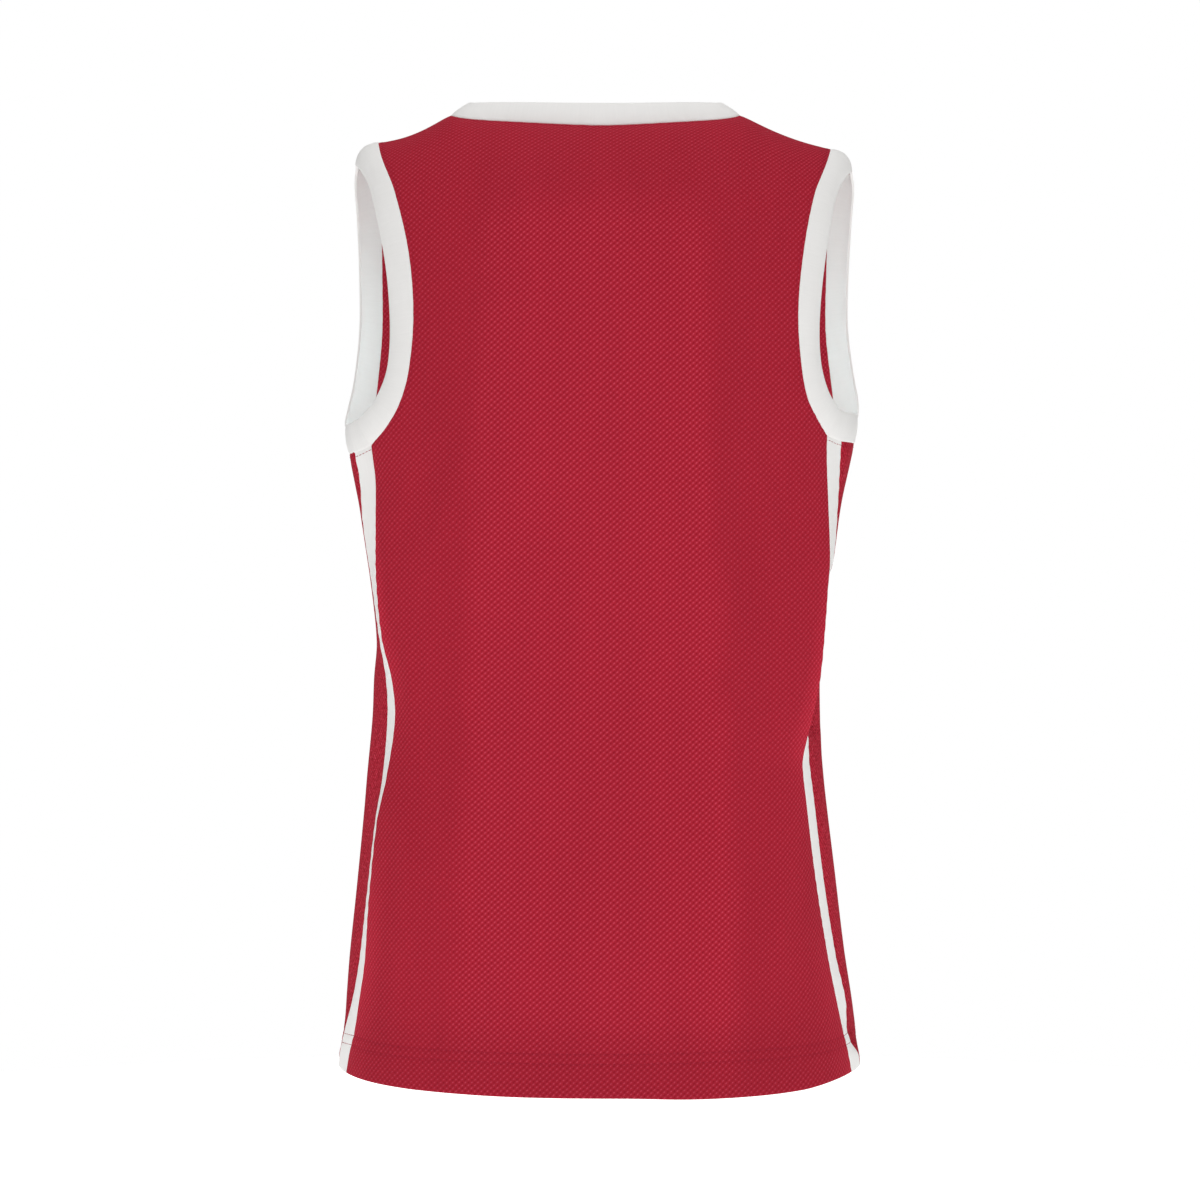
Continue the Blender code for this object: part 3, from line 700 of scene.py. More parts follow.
def cloth_object(node, cloth, wall, rounding, finish):
    """A sheet of cloth as an object with a wall and softly rounded edges, in its node's place."""
    points, cut = cloth.points, cloth.cut
    if cloth.girth:
        points = np.concatenate([points, points[:, :1]], axis=1)
        cut = np.concatenate([cut, cut[:, :1] + np.array([cloth.girth, 0.0])], axis=1)
    rows, columns = points.shape[:2]
    deselect()
    bpy.ops.mesh.primitive_grid_add(x_subdivisions=columns - 1, y_subdivisions=rows - 1, size=1.0)
    made = bpy.context.active_object
    made.data.vertices.foreach_set("co", points.ravel())
    corners = np.empty(len(made.data.loops), dtype=np.int32)
    made.data.loops.foreach_get("vertex_index", corners)
    made.data.uv_layers[0].name = "cut"
    made.data.uv_layers[0].data.foreach_set("uv", cut.reshape(-1, 2)[corners].ravel())
    made.data.update()
    if cloth.girth:
        in_edit_mode(lambda: bpy.ops.mesh.remove_doubles(threshold=MERGE_DISTANCE))
    if cloth.flipped:
        in_edit_mode(bpy.ops.mesh.flip_normals)
    apply_modifier(made, "SOLIDIFY", thickness=wall, offset=0.0)
    apply_modifier(made, "BEVEL", width=wall * rounding, segments=2, limit_method="ANGLE",
                   angle_limit=math.radians(60))
    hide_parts(node)
    return dressed(made, node + "_cloth", finish)


def line_on(cloth, edge, distance, keep=slice(None)):
    """Points and normals on a cloth along the line at a distance from one of its edges."""
    points, normals = cloth.points, cloth.normals
    if edge.endswith("column"):
        points, normals = points.swapaxes(0, 1), normals.swapaxes(0, 1)
    if edge.startswith("last"):
        points, normals = points[::-1], normals[::-1]
    points, normals = points[:, keep], normals[:, keep]
    return line_at(run_lengths(points, 0), distance, points, normals)


def hem_line(cloth, height):
    """Points and normals along the level line at a height above the hem."""
    return line_at(cloth.points[..., 2] - HEM_HEIGHT, height, cloth.points, cloth.normals)


def shoulder_point(side, distance):
    """The point on the shoulder seam at a distance from the neck, and the way up from it."""
    away = side.neck + distance
    slope = crest_height(side, away + SEAM_PROBE) - crest_height(side, away - SEAM_PROBE)
    point = np.array([[side.sign * away, 0.0, crest_height(side, away)]])
    return point, unit(np.array([[-side.sign * slope / (2 * SEAM_PROBE), 0.0, 1.0]]))


def turned(line):
    return line[0][::-1], line[1][::-1]


def joined(lines):
    return tuple(np.concatenate(parts) for parts in zip(*lines))


def one_stitch(length, thread):
    """A lockstitch: a short plump thread whose two ends dive into the cloth."""
    deselect()
    bpy.ops.mesh.primitive_uv_sphere_add(segments=6, ring_count=6, radius=0.5)
    made = bpy.context.active_object
    middle = {"center_override": (0, 0, 0)}
    in_edit_mode(
        lambda: bpy.ops.transform.rotate(value=math.radians(90), orient_axis="Y", **middle),
        lambda: bpy.ops.transform.resize(value=(length, thread, thread), **middle))
    for vertex in made.data.vertices:
        vertex.co.z -= STITCH_DIVE * thread * (2 * vertex.co.x / length) ** 4
    return made


def stitch_row(name, lines, sewing, finish):
    """Closed rows of stitches along lines of points and normals, copied from one and joined."""
    model = one_stitch(sewing.stitch_length, sewing.thread)
    shape = np.array([vertex.co for vertex in model.data.vertices])
    lift = sewing.panel_wall / 2 + sewing.thread * STITCH_LIFT
    placed = []
    for line, normals in lines:
        line = np.concatenate([line, line[:1]])
        normals = np.concatenate([normals, normals[:1]])
        run = run_lengths(line, 0)
        count = int(run[-1] / sewing.stitch_pitch)

        def read(values, place):
            return np.array([np.interp(place, run, values[:, axis]) for axis in range(3)])

        for place in (np.arange(count) + 0.5) * run[-1] / count:
            along = unit(read(line, place + STITCH_PROBE) - read(line, place - STITCH_PROBE))
            up = read(normals, place)
            up = unit(up - along * np.dot(up, along))
            axes = np.array([along, np.cross(up, along), up])
            placed.append(shape @ axes + read(line, place) + up * lift)
    apply_modifier(model, "ARRAY", count=len(placed))
    model.data.vertices.foreach_set("co", np.concatenate(placed).ravel())
    model.data.update()
    dressed(model, name, finish)


# Finishes.
class Nodes:
    """The nodes of a material or a world: added by type and joined by their values."""

    def __init__(self, owner):
        owner.use_nodes = True
        self.tree = owner.node_tree

    def plug_all(self, node, inputs):
        for socket, value in inputs.items():
            if isinstance(value, bpy.types.NodeSocket):
                self.tree.links.new(value, node.inputs[socket])
            else:
                node.inputs[socket].default_value = value

    def node(self, kind, inputs, **settings):
        node = self.tree.nodes.new("ShaderNode" + kind)
        for name, setting in settings.items():
            setattr(node, name, setting)
        self.plug_all(node, inputs)
        return node


class Finish(Nodes):
    """A material under construction."""

    def __init__(self, name, roughness, sheen=0.0, specular=0.05):
        self.material = bpy.data.materials.new(name)
        super().__init__(self.material)
        self.shader = self.tree.nodes["Principled BSDF"]
        self.plug_all(self.shader, {"Roughness": roughness, "Specular IOR Level": specular,
                                    "Sheen Weight": sheen, "Sheen Roughness": 0.45})

    def math(self, operation, first, second=0.0, third=0.0):
        return self.node("Math", {0: first, 1: second, 2: third}, operation=operation).outputs[0]

    def times(self, first, second):
        return self.math("MULTIPLY", first, second)

    def plus(self, first, second):
        return self.math("ADD", first, second)

    def line(self, value, slope, start):
        """The value times the slope, plus the start."""
        return self.math("MULTIPLY_ADD", value, slope, start)

    def about(self, value, swing, middle=1.0):
        """A value from 0 to 1 made to swing about a middle."""
        return self.line(value, swing, middle - swing / 2)

    def cut(self):
        """Distance round the garment and along the cloth, in metres, from the piece's own cut."""
        return self.node("UVMap", {}, uv_map="cut").outputs["UV"]

    def place(self):
        return self.node("TexCoord", {}).outputs["Object"]

    def parts(self, vector):
        return self.node("SeparateXYZ", {0: vector}).outputs

    def scaled(self, vector, scale):
        return self.node("Mapping", {"Vector": vector, "Scale": scale}).outputs[0]

    def noise(self, vector, scale, detail=2.0):
        inputs = {"Vector": vector, "Scale": scale, "Detail": detail}
        return self.node("TexNoise", inputs).outputs["Fac"]

    def ramp(self, factor, *stops):
        """Colours by place along a ramp. A plain number is a grey."""
        node = self.node("ValToRGB", {0: factor})
        elements = node.color_ramp.elements
        while len(elements) < len(stops):
            elements.new(0.5)
        for element, (position, colour) in zip(elements, stops):
            element.position = position
            element.color = (*((colour,) * 3 if isinstance(colour, (int, float)) else colour), 1.0)
        return node.outputs[0]

    def tone(self, colour):
        node = self.node("RGB", {})
        node.outputs[0].default_value = (*colour, 1.0)
        return node.outputs[0]

    def brighten(self, colour, factor):
        return self.node("VectorMath", {0: colour, "Scale": factor}, operation="SCALE").outputs[0]

    def bump(self, height, distance, strength, under=None):
        inputs = {"Distance": distance, "Strength": strength, "Height": height}
        if under is not None:
            inputs["Normal"] = under
        return self.node("Bump", inputs).outputs[0]

    def finish(self, colour, normal):
        self.plug_all(self.shader, {"Base Color": colour, "Normal": normal})
        return self.material


# Red mesh: how its rows wander, how sharp its dashes and eyelets are, and where painted light
# brightens its middle.
ROW_WANDER_SCALES = (160.0, 210.0)
DASH_POWER = 1.8
EYELET_POWER = 1.3
LIT_ZONE_WANDER_SCALE = 18.0
LIT_ZONE_WANDER = 0.024
LIT_ZONE_MIDDLE = 0.004
LIT_ZONE_NARROWING = 0.0414
LIT_ZONE_TO_RAMP = 5.0

# Its yarn and its painted light and shade: scales of the noises, round the body and along it, and
# how far each one shows.
SLUB_SCALES = (160.0, 600.0, 1.0)
SLUB_CONTRAST = 2.0
SLUB_LEVEL = -1.18
# Painted shade of soft folds: streaks of noise stretched along the body.
FOLD_SHADE_SCALES = (28.0, 5.0, 1.0)
FOLD_SHADE_SWING = 0.12
YARN_SCALE = 2600.0
YARN_SWING = 0.14
FUZZ_SCALE = 3000.0
FUZZ_HEIGHT = 0.00008
GUSSET_GAIN = 0.15
# Painted light and shade: the lit middle of each panel is brightened, its sides and top darkened.
PAINTED_LIGHT_GAIN = 0.08
PAINTED_SHADE_OUTSIDE_LIT = 0.935
# Painted rim light by the lower side seams.
PAINTED_RIM_LIGHT_GAIN = 0.31

# Painted rim light: depth of the side seams by height, the reach of the painted light inward from
# them, and the waves in which it comes and goes along the seam.
SEAM_DEPTH_SLOPE = 0.0817
SEAM_DEPTH_START = 0.0988
SEAM_DEPTH_MOST = 0.0605
RIM_LIGHT_REACH_SLOPE = -0.18
RIM_LIGHT_REACH_START = -0.036
RIM_LIGHT_REACH_LEAST = 0.01
RIM_LIGHT_LEAN = -0.25
RIM_LIGHT_WAVE_RATE = 20.9
RIM_LIGHT_WAVE_START = -2.83

# White knit and thread: the share of its wales in a loop, and how its yarn varies.
WALE_SHARE = 0.6
KNIT_STREAK_SCALES = (700.0, 40.0, 1.0)
KNIT_STREAK_SWING = 0.05
KNIT_STREAK_HEIGHT = 0.00012
LOOP_HEIGHT = 0.00006
LOOP_SHADE = 0.012
PATCH_SCALE = 30.0
PATCH_SWING = 0.03
FIBRE_SCALE = 5000.0
FIBRE_SWING = 0.3
FIBRE_HEIGHT = 0.00005


def wave_angle(f, value, pitch):
    """Angle of a wave that repeats with the pitch."""
    return f.times(value, 2 * math.pi / pitch)


def eyelet_pattern(f, cut, knit):
    """Raised dashes (towards 1) and small eyelets (towards -1) in half-drop rows."""
    u, v, _ = f.parts(cut)
    stray_u, stray_v = (f.line(f.noise(cut, scale), knit.unevenness, value)
                        for scale, value in zip(ROW_WANDER_SCALES, (u, v)))
    stray_v = f.line(stray_u, math.tan(knit.row_slant), stray_v)
    across = wave_angle(f, stray_u, knit.eyelet_width)
    up = wave_angle(f, stray_v, knit.eyelet_height)
    checks = f.times(f.math("COSINE", across), f.math("COSINE", up))
    steps = f.times(f.math("SINE", across), f.math("SINE", up))
    pattern = f.line(steps, -knit.diagonal, checks)
    dashes = f.math("POWER", f.math("MAXIMUM", pattern, 0.0), DASH_POWER)
    holes = f.math("POWER", f.math("MAXIMUM", f.times(pattern, -1.0), 0.0), EYELET_POWER)
    return f.math("SUBTRACT", dashes, holes)


def painted_light_share(f, cut):
    """Share of painted light: all of it in a panel's middle, less beside its edges and the hem,
    none at the top.
    """
    u, v, _ = f.parts(cut)
    wander = f.about(f.noise(cut, LIT_ZONE_WANDER_SCALE), LIT_ZONE_WANDER, 0.0)
    away = f.math("ABSOLUTE", f.math("SUBTRACT", f.plus(u, wander), LIT_ZONE_MIDDLE))
    away = f.line(v, LIT_ZONE_NARROWING, away)
    across = f.ramp(f.times(away, LIT_ZONE_TO_RAMP), (0.345, 1), (0.425, 0))
    up = f.ramp(f.plus(f.plus(v, wander), RAMP_BASE), (0.095, 0.5), (0.130, 1), (0.712, 1),
                (0.745, 0))
    return f.times(across, up)


def painted_rim_light_share(f):
    """Share of painted rim light, which comes and goes along the lower side seams."""
    x, y, z = f.parts(f.place())
    seam_depth = f.line(z, SEAM_DEPTH_SLOPE, SEAM_DEPTH_START)
    seam_depth = f.math("MINIMUM", seam_depth, SEAM_DEPTH_MOST)
    inward = f.math("SUBTRACT", f.math("ABSOLUTE", y), seam_depth)
    reach = f.line(z, RIM_LIGHT_REACH_SLOPE, RIM_LIGHT_REACH_START)
    inward = f.math("DIVIDE", inward, f.math("MAXIMUM", reach, RIM_LIGHT_REACH_LEAST))
    beside = f.ramp(f.plus(inward, 0.2), (0.15, 0), (0.20, 1), (0.33, 0.6), (0.56, 0))
    waves = f.math("SINE", f.line(f.line(x, RIM_LIGHT_LEAN, z), RIM_LIGHT_WAVE_RATE, RIM_LIGHT_WAVE_START))
    below = f.ramp(f.plus(z, RAMP_BASE), (0.50, 1), (0.55, 0))
    return f.times(f.times(beside, below), f.line(waves, 0.5, 0.5))


def red_mesh(scene):
    """Bird-eye mesh of the panels, with uneven yarn in the side panels' closer knit, and painted
    light and shade over it.
    """
    knit, colours = scene.jersey_knit, scene.jersey_colours
    f = Finish("red_mesh_cloth", 0.78)
    cut = f.cut()
    u, v, _ = f.parts(cut)
    eyelets = eyelet_pattern(f, cut, knit)
    # Painted light: a lit middle on each panel, where the red is brighter and the dashes show a
    # stronger painted highlight.
    painted_light = painted_light_share(f, cut)
    contrast = f.line(painted_light, 0.5 - knit.unlit_pattern_share / 2, knit.unlit_pattern_share / 2)
    gusset = f.math("GREATER_THAN", f.math("ABSOLUTE", u), GUSSET_START)
    slubs = f.line(f.noise(f.scaled(cut, SLUB_SCALES), 1.0), SLUB_CONTRAST, SLUB_LEVEL)
    factor = f.line(gusset, slubs, f.line(eyelets, contrast, 0.5))
    # The mesh's own eyelets and dashes, with painted shade in the eyelets and painted highlights on
    # the dashes.
    colour = f.ramp(factor, (0.00, colours.red_eyelet_and_shade), (0.35, colours.red), (0.62, colours.red),
                    (0.95, colours.red_dash_and_highlight))
    # Painted shade of soft folds, in streaks along the body.
    streaks = f.about(f.noise(f.scaled(cut, FOLD_SHADE_SCALES), 1.0), FOLD_SHADE_SWING)
    yarn = f.about(f.noise(cut, YARN_SCALE), YARN_SWING)
    # Darker towards the hem.
    darker_by_hem = f.ramp(f.plus(v, RAMP_BASE), (0.105, 0.90), (0.121, 0.93), (0.135, 0.97), (0.160, 1))
    shade = f.times(f.times(streaks, yarn), darker_by_hem)
    shade = f.times(shade, f.line(gusset, GUSSET_GAIN, 1.0))
    # Painted light on each panel's lit middle, painted shade on its sides and top.
    shade = f.times(shade, f.line(painted_light, PAINTED_LIGHT_GAIN, PAINTED_SHADE_OUTSIDE_LIT))
    # Painted rim light where it comes and goes along the lower side seams.
    shade = f.times(shade, f.line(painted_rim_light_share(f), PAINTED_RIM_LIGHT_GAIN, 1.0))
    relief = f.bump(eyelets, knit.relief, 0.7)
    relief = f.bump(f.noise(cut, FUZZ_SCALE), FUZZ_HEIGHT, 0.5, relief)
    return f.finish(f.brighten(colour, shade), relief)


def white_knit(scene):
    """Plain fine knit of the bands and stripes, with faint wales along the cloth."""
    knit = scene.jersey_knit
    f = Finish("white_knit_cloth", 0.82, 0.02)
    cut = f.cut()
    u, v, _ = f.parts(cut)
    wales = f.math("COSINE", wave_angle(f, u, knit.wale_width))
    courses = f.math("COSINE", wave_angle(f, v, knit.course_height))
    loops = f.line(wales, WALE_SHARE, f.times(courses, 1 - WALE_SHARE))
    streaks = f.noise(f.scaled(cut, KNIT_STREAK_SCALES), 1.0, 3.0)
    patches = f.about(f.noise(cut, PATCH_SCALE), PATCH_SWING)
    shade = f.line(loops, LOOP_SHADE, f.times(patches, f.about(streaks, KNIT_STREAK_SWING)))
    relief = f.bump(streaks, KNIT_STREAK_HEIGHT, 0.4, f.bump(loops, LOOP_HEIGHT, 0.6))
    return f.finish(f.brighten(f.tone(scene.jersey_colours.white), shade), relief)


def sewing_thread(scene):
    f = Finish("sewing_thread", 0.75)
    fibres = f.noise(f.place(), FIBRE_SCALE)
    colour = f.brighten(f.tone(scene.jersey_colours.thread), f.about(fibres, FIBRE_SWING))
    return f.finish(colour, f.bump(fibres, FIBRE_HEIGHT, 0.5))


def pale_floor():
    f = Finish("pale_floor", 0.9, 0.0, 0.0)
    f.plug_all(f.shader, {"Emission Color": WHITE, "Emission Strength": 0.7})
    place = f.place()
    tone = f.ramp(f.noise(place, 3.0), (0.0, 0.90), (1.0, 0.93))
    return f.finish(tone, f.bump(f.noise(place, 40.0), 0.0005, 0.1))


# Sizes and colours that a user would change.
def number(name, description, default, **limits):
    return bpy.props.FloatProperty(name=name, description=description, default=default, **limits)


def length(name, description, default):
    return number(name, description, default, min=0.0, precision=5, unit="LENGTH")


def share(name, description, default):
    return number(name, description, default, min=0.0, max=1.0)


def power(name, description, default):
    return number(name, description, default, min=0.0, unit="POWER")


def colour(name, description, default):
    return bpy.props.FloatVectorProperty(name=name, description=description, default=default,
                                         min=0.0, max=1.0, size=3, subtype="COLOR")


class JerseySewing(bpy.types.PropertyGroup):
    """How the pieces are sewn, and how thick they are."""

    panel_wall: length("Mesh thickness", "Thickness of the red mesh", 0.0008)
    stripe_wall: length("Stripe thickness", "Thickness of the white stripes", 0.0009)
    band_wall: length("Band thickness", "Thickness of the folded bands", 0.0018)
    roll_reach: length("Edge roll reach", "How far from a seam its edge starts to turn in", 0.0014)
    roll_depth: length("Edge roll depth", "How deep a sewn edge turns in", 0.0004)
    seam_bite: length("Seam bite", "How far each sewn edge runs on under the seam line", 0.0002)
    seam_sink: length("Seam sink", "How far the cloth beside a seam sinks", 0.0003)
    tuck: length("Tuck", "How far a stripe lies back where a fold hides it", 0.0009)
    pucker_reach: length("Pucker reach", "How far puckers run from a seam", 0.0060)
    pucker_depth: length("Pucker depth", "Height of the small puckers beside a seam", 0.00018)
    pucker_pitch: length("Pucker pitch", "Usual distance between puckers", 0.0115)
    hem_turn_up: length("Hem turn-up", "Height of the hem's inner layer", 0.0345)
    hem_layer: length("Hem layer", "Distance between the hem's two layers", 0.0011)
    hem_row_high: length("Upper hem row", "Height of the upper stitch row over the edge", 0.0306)
    hem_row_low: length("Lower hem row", "Height of the lower stitch row over the edge", 0.0236)
    row_reach: length("Stitch row reach", "How far from a row the cloth sinks towards it", 0.0016)
    row_sink: length("Stitch row sink", "How far a stitch row pulls the cloth in", 0.00025)
    top_row: length("Topstitch distance", "Distance of the topstitch from its seam", 0.0036)
    stitch_pitch: length("Stitch pitch", "Distance from one stitch to the next", 0.0031)
    stitch_length: length("Stitch length", "Length of a stitch's thread", 0.0035)
    thread: length("Thread", "Diameter of the sewing thread", 0.00048)


class JerseyKnit(bpy.types.PropertyGroup):
    """Scale of the two knits."""

    eyelet_width: length("Eyelet width", "Distance across from one eyelet to the next", 0.00485)
    eyelet_height: length("Eyelet height", "Distance down from one eyelet to the next", 0.00416)
    relief: length("Mesh relief", "Height of the raised dashes over the eyelets", 0.00040)
    # Share of the pattern's contrast left outside the painted lit middle, where the dashes show
    # less painted highlight.
    unlit_pattern_share: share("Quiet mesh", "Share of the pattern left where cloth is slack", 0.82)
    diagonal: share("Diagonal", "How far the dashes link up into diagonals", 0.45)
    unevenness: length("Unevenness", "How far the mesh rows wander", 0.00090)
    wale_width: length("Wale width", "Width of one wale of the white knit", 0.00070)
    course_height: length("Course height", "Height of one course of the white knit", 0.00055)
    row_slant: number("Row slant", "How far the mesh rows run off level", math.radians(3.0),
                      unit="ROTATION")


class JerseyColours(bpy.types.PropertyGroup):
    """Colours of the cloth and the thread."""

    red: colour("Red", "Main red of the mesh", (0.404, 0.0170, 0.0355))
    # The eyelet red holds painted shade and the dash red a painted highlight, over the mesh's own
    # pattern.
    red_eyelet_and_shade: colour("Eyelet", "Red down in the eyelets", (0.272, 0.0058, 0.0165))
    red_dash_and_highlight: colour("Dash", "Red on top of the raised dashes", (0.585, 0.056, 0.099))
    white: colour("White", "White of the bands and stripes", (0.825, 0.815, 0.800))
    thread: colour("Thread", "Red sewing thread", (0.340, 0.016, 0.036))


class JerseyStage(bpy.types.PropertyGroup):
    """Floor, light and camera."""

    distance: length("Camera distance", "Distance of the camera behind the wearer", 2.1)
    level: number("Camera level", "Height of the camera", -0.361, unit="LENGTH")
    frame_height: length("Frame height", "Height that the camera takes in", 0.9216)
    floor_drop: length("Floor drop", "How far the floor lies under the hem", 0.42)
    sky: number("Room light", "Strength of the room's even light", 0.385, min=0.0)
    key: power("Back light", "Power of the large lamp behind the wearer", 20.6)
    fill: power("Front light", "Power of the large lamp before the wearer", 20.0)
    inside: power("Inner lights", "Power of each lamp inside the jersey", 0.15)
    top: power("Top light", "Power of the large lamp overhead", 13.0)
    rim: power("Side lights", "Power of each lamp at the sides", 4.4)


# Operators, one for each piece or group of like pieces.
BODY_SEAMS = ("first_column", "last_column", "last_row")


def panel_parts(sewing):
    """Back and front cloth, sewn and with a pressed hem."""
    found = {}
    for panel, phase in ((BACK, 0.4), (FRONT, 2.1)):
        cloth = found[panel.name + "_panel"] = panel_cloth(panel)
        cloth.sew(BODY_SEAMS, sewing, phase)
        cloth.press_hem(sewing)
    return found


def strip_parts(side, sewing):
    """The two stripes and the side panel of one side, sewn and with a pressed hem."""
    found = {}
    for name, first, columns, width, phase in (
            ("back_stripe_", 0, STRIPE_COLUMNS, STRIPE_WIDTH, 0.9),
            ("side_panel_", 1, SIDE_COLUMNS, SIDE_WIDTH, 3.0),
            ("front_stripe_", 2, STRIPE_COLUMNS, STRIPE_WIDTH, 5.1)):
        cloth = found[name + side.name] = strip_cloth(side, first, columns, width)
        cloth.sew(BODY_SEAMS, sewing, phase + side.sign)
        if first == 0:
            heading = side.body.read("heading", cloth.points[..., 2])
            hidden = np.clip((heading - HIDDEN_HEADING) / HIDDEN_HEADING_RANGE, 0.0, 1.0)
            cloth.sink(sewing.tuck * hidden)
        cloth.press_hem(sewing)
    return found


def mesh_piece(node, cloth, scene):
    """A red mesh piece with its hem turned up."""
    sewing = scene.jersey_sewing
    cloth.turn_up_hem(sewing)
    finish = bpy.data.materials.get("red_mesh_cloth") or red_mesh(scene)
    return cloth_object(node, cloth, sewing.panel_wall, CLOTH_ROUNDING, finish)


def knit_piece(node, cloth, wall, rounding, scene):
    """A white knit piece."""
    finish = bpy.data.materials.get("white_knit_cloth") or white_knit(scene)
    return cloth_object(node, cloth, wall, rounding, finish)


def band_piece(node, cloth, phase, scene):
    """A folded white band, sewn on along its seam."""
    sewing = scene.jersey_sewing
    cloth.sew(("first_row",), sewing, phase)
    return knit_piece(node, cloth, sewing.band_wall, BAND_ROUNDING, scene)


class JERSEY_OT_panels(bpy.types.Operator):
    """Make the red mesh back and front"""

    bl_idname = "jersey.panels"
    bl_label = "Back and front panels"

    def execute(self, context):
        for node, cloth in panel_parts(context.scene.jersey_sewing).items():
            made = mesh_piece(node, cloth, context.scene)
        return {"FINISHED"}


class JERSEY_OT_side_panels(bpy.types.Operator):
    """Make the red mesh side panels"""

    bl_idname = "jersey.side_panels"
    bl_label = "Side panels"

    def execute(self, context):
        for side in SIDES:
            node = "side_panel_" + side.name
            cloth = strip_parts(side, context.scene.jersey_sewing)[node]
            made = mesh_piece(node, cloth, context.scene)
        return {"FINISHED"}


class JERSEY_OT_stripes(bpy.types.Operator):
    """Make the four white stripes"""

    bl_idname = "jersey.stripes"
    bl_label = "Side stripes"

    def execute(self, context):
        sewing = context.scene.jersey_sewing
        for side in SIDES:
            for node, cloth in strip_parts(side, sewing).items():
                if "stripe" in node:
                    cloth.turn_up_hem(sewing)
                    made = knit_piece(node, cloth, sewing.stripe_wall, CLOTH_ROUNDING,
                                      context.scene)
        return {"FINISHED"}


class JERSEY_OT_armbands(bpy.types.Operator):
    """Make the folded white bands round the armholes"""

    bl_idname = "jersey.armbands"
    bl_label = "Armhole bands"

    def execute(self, context):
        for side in SIDES:
            cloth = arm_band_cloth(side)
            made = band_piece("armband_" + side.name, cloth, side.sign, context.scene)
        return {"FINISHED"}


class JERSEY_OT_neckband(bpy.types.Operator):
    """Make the folded white band round the neck"""

    bl_idname = "jersey.neckband"
    bl_label = "Neckband"

    def execute(self, context):
        made = band_piece("neckband", neck_band_cloth(), 0.3, context.scene)
        return {"FINISHED"}


class JERSEY_OT_stitching(bpy.types.Operator):
    """Sew the twin hem rows and the topstitching of the armholes and the neck"""

    bl_idname = "jersey.stitching"
    bl_label = "Stitching"

    def execute(self, context):
        sewing = context.scene.jersey_sewing
        finish = sewing_thread(context.scene)
        distance = sewing.top_row
        back, front = panel_parts(sewing).values()
        strips = {side.name: list(strip_parts(side, sewing).values()) for side in SIDES}

        def sew(name, *rows):
            stitch_row(name, [joined(row) for row in rows], sewing, finish)

        hem = []
        for height in (sewing.hem_row_low, sewing.hem_row_high):
            left, right = ([hem_line(cloth, height) for cloth in parts]
                           for parts in strips.values())
            hem.append([turned(hem_line(back, height)), *right,
                        hem_line(front, height), *map(turned, left[::-1])])
        sew("hem_stitching", *hem)

        above = slice(HEM_ROWS + BODY_ROWS + 1, None)
        for side, edge in zip(SIDES, ("last_column", "first_column")):
            down = turned(line_on(back, edge, distance, above))
            under = [line_on(cloth, "last_row", distance) for cloth in strips[side.name]]
            up = line_on(front, edge, distance, above)
            sew("armhole_stitching_" + side.name, [down, *under, up])

        keep = np.abs(back.points[-1, :, 0]) < NECK_ROW_REACH
        behind, before = (line_on(cloth, "last_row", distance, keep) for cloth in (back, front))
        left, right = (shoulder_point(side, distance) for side in SIDES)
        sew("neck_stitching", [left, turned(behind), right, before])
        return {"FINISHED"}


def room(sky):
    """Even light from all round, with a white backdrop behind the garment."""
    world = bpy.data.worlds.new("studio")
    nodes = Nodes(world)
    light, surface = (nodes.tree.nodes[name] for name in ("Background", "World Output"))
    nodes.plug_all(light, {"Color": WHITE, "Strength": sky})
    backdrop = nodes.node("Background", {"Color": WHITE})
    seen = nodes.node("LightPath", {}).outputs["Is Camera Ray"]
    choice = nodes.node("MixShader", {"Fac": seen, 1: light.outputs[0], 2: backdrop.outputs[0]})
    nodes.plug_all(surface, {"Surface": choice.outputs[0]})
    return world


def lamp(name, place, aim, size, power):
    """A soft square lamp that the camera doesn't see."""
    bpy.ops.object.light_add(type="AREA", location=place)
    made = bpy.context.active_object
    made.name = name
    made.data.energy = power
    made.data.size = size
    made.rotation_euler = (Vector(aim) - Vector(place)).to_track_quat("-Z", "Y").to_euler()
    made.visible_camera = False
    return made


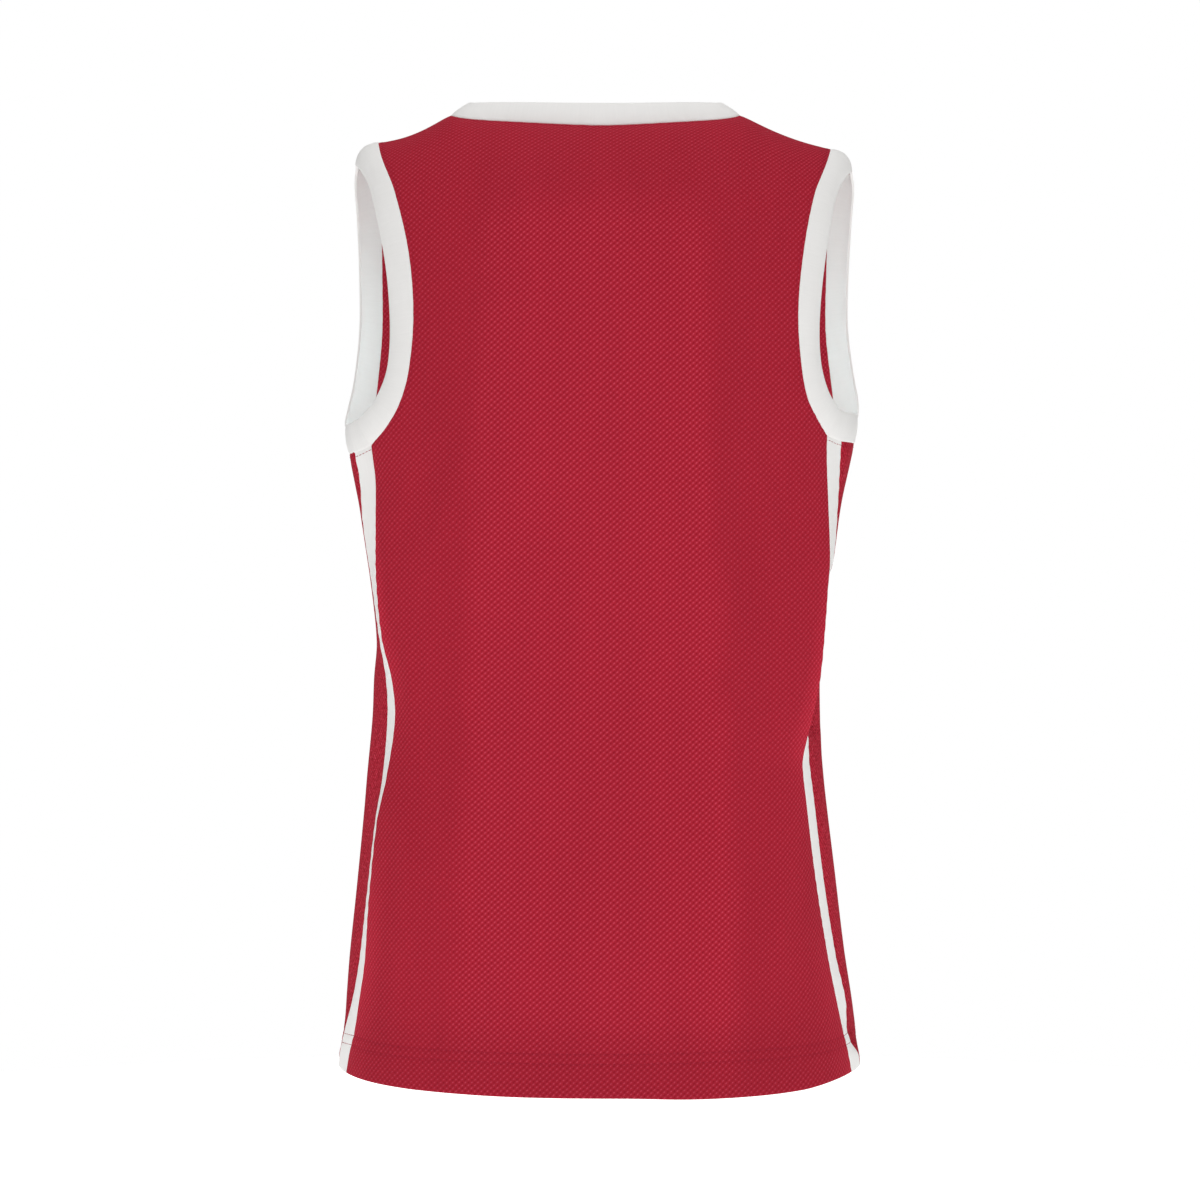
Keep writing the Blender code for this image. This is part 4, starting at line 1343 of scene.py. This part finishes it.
class JERSEY_OT_stage(bpy.types.Operator):
    """Set up the floor, the lights and the camera"""

    bl_idname = "jersey.stage"
    bl_label = "Stage"

    def execute(self, context):
        stage = context.scene.jersey_stage
        level = stage.level
        deselect()
        bpy.ops.mesh.primitive_circle_add(vertices=96, radius=FLOOR_RADIUS, fill_type="NGON",
                                          location=(0, 0, HEM_HEIGHT - stage.floor_drop))
        floor = context.active_object
        floor.name = "floor"
        floor.data.materials.append(pale_floor())
        context.scene.world = room(stage.sky)

        middle = (0, 0, level)
        lamp("key", (-0.3, 3.1, level + 0.7), middle, LAMP_SIZE, stage.key)
        lamp("fill", (0.3, -3.2, level + 0.1), middle, LAMP_SIZE, stage.fill)
        lamp("top", (0.0, 0.4, 1.5), middle, LAMP_SIZE, stage.top)
        lamp("side_left", (1.35, 0.4, level - 0.55), middle, SIDE_LAMP_SIZE, stage.rim)
        for name, x in (("inside_left", 0.01), ("inside_right", -0.01)):
            made = lamp(name, (x, 0.0, INSIDE_LAMP_HEIGHT), (x * 100, 0, INSIDE_LAMP_HEIGHT),
                        INSIDE_LAMP_SIZE, stage.inside)
            made.data.spread = math.radians(INSIDE_LAMP_SPREAD)
            made.data.color = INSIDE_LAMP_COLOUR
        lamp("side_right", (-1.5, 0.4, level - 0.55), middle, SIDE_LAMP_SIZE, stage.rim)

        bpy.ops.object.camera_add(location=(0, stage.distance, level),
                                  rotation=(math.radians(90), 0, math.radians(180)))
        camera = context.active_object
        camera.name = "camera"
        camera.data.sensor_width = SENSOR
        camera.data.lens = SENSOR * stage.distance / stage.frame_height
        context.scene.camera = camera
        context.scene.view_settings.view_transform = "Standard"
        return {"FINISHED"}


# Panel and registration.
PIECES = (JERSEY_OT_panels, JERSEY_OT_side_panels, JERSEY_OT_stripes, JERSEY_OT_armbands,
          JERSEY_OT_neckband, JERSEY_OT_stitching, JERSEY_OT_stage)
SETTINGS = {"jersey_sewing": JerseySewing, "jersey_knit": JerseyKnit,
            "jersey_colours": JerseyColours, "jersey_stage": JerseyStage}


class JERSEY_PT_sidebar(bpy.types.Panel):
    """Buttons and settings for the jersey"""

    bl_idname = "JERSEY_PT_sidebar"
    bl_label = "Basketball Jersey"
    bl_space_type = "VIEW_3D"
    bl_region_type = "UI"
    bl_category = "Jersey"

    def draw(self, context):
        for piece in PIECES:
            self.layout.operator(piece.bl_idname)
        for setting, group in SETTINGS.items():
            box = self.layout.box()
            box.label(text=group.bl_rna.name)
            for name in group.__annotations__:
                box.prop(getattr(context.scene, setting), name)


CLASSES = (*SETTINGS.values(), *PIECES, JERSEY_PT_sidebar)


def register():
    for item in CLASSES:
        bpy.utils.register_class(item)
    for setting, group in SETTINGS.items():
        setattr(bpy.types.Scene, setting, bpy.props.PointerProperty(type=group))


def unregister():
    for setting in SETTINGS:
        delattr(bpy.types.Scene, setting)
    for item in reversed(CLASSES):
        bpy.utils.unregister_class(item)


def main():
    register()
    bpy.ops.jersey.panels()
    bpy.ops.jersey.side_panels()
    bpy.ops.jersey.stripes()
    bpy.ops.jersey.armbands()
    bpy.ops.jersey.neckband()
    bpy.ops.jersey.stitching()
    bpy.ops.jersey.stage()


if __name__ == "__main__":
    main()
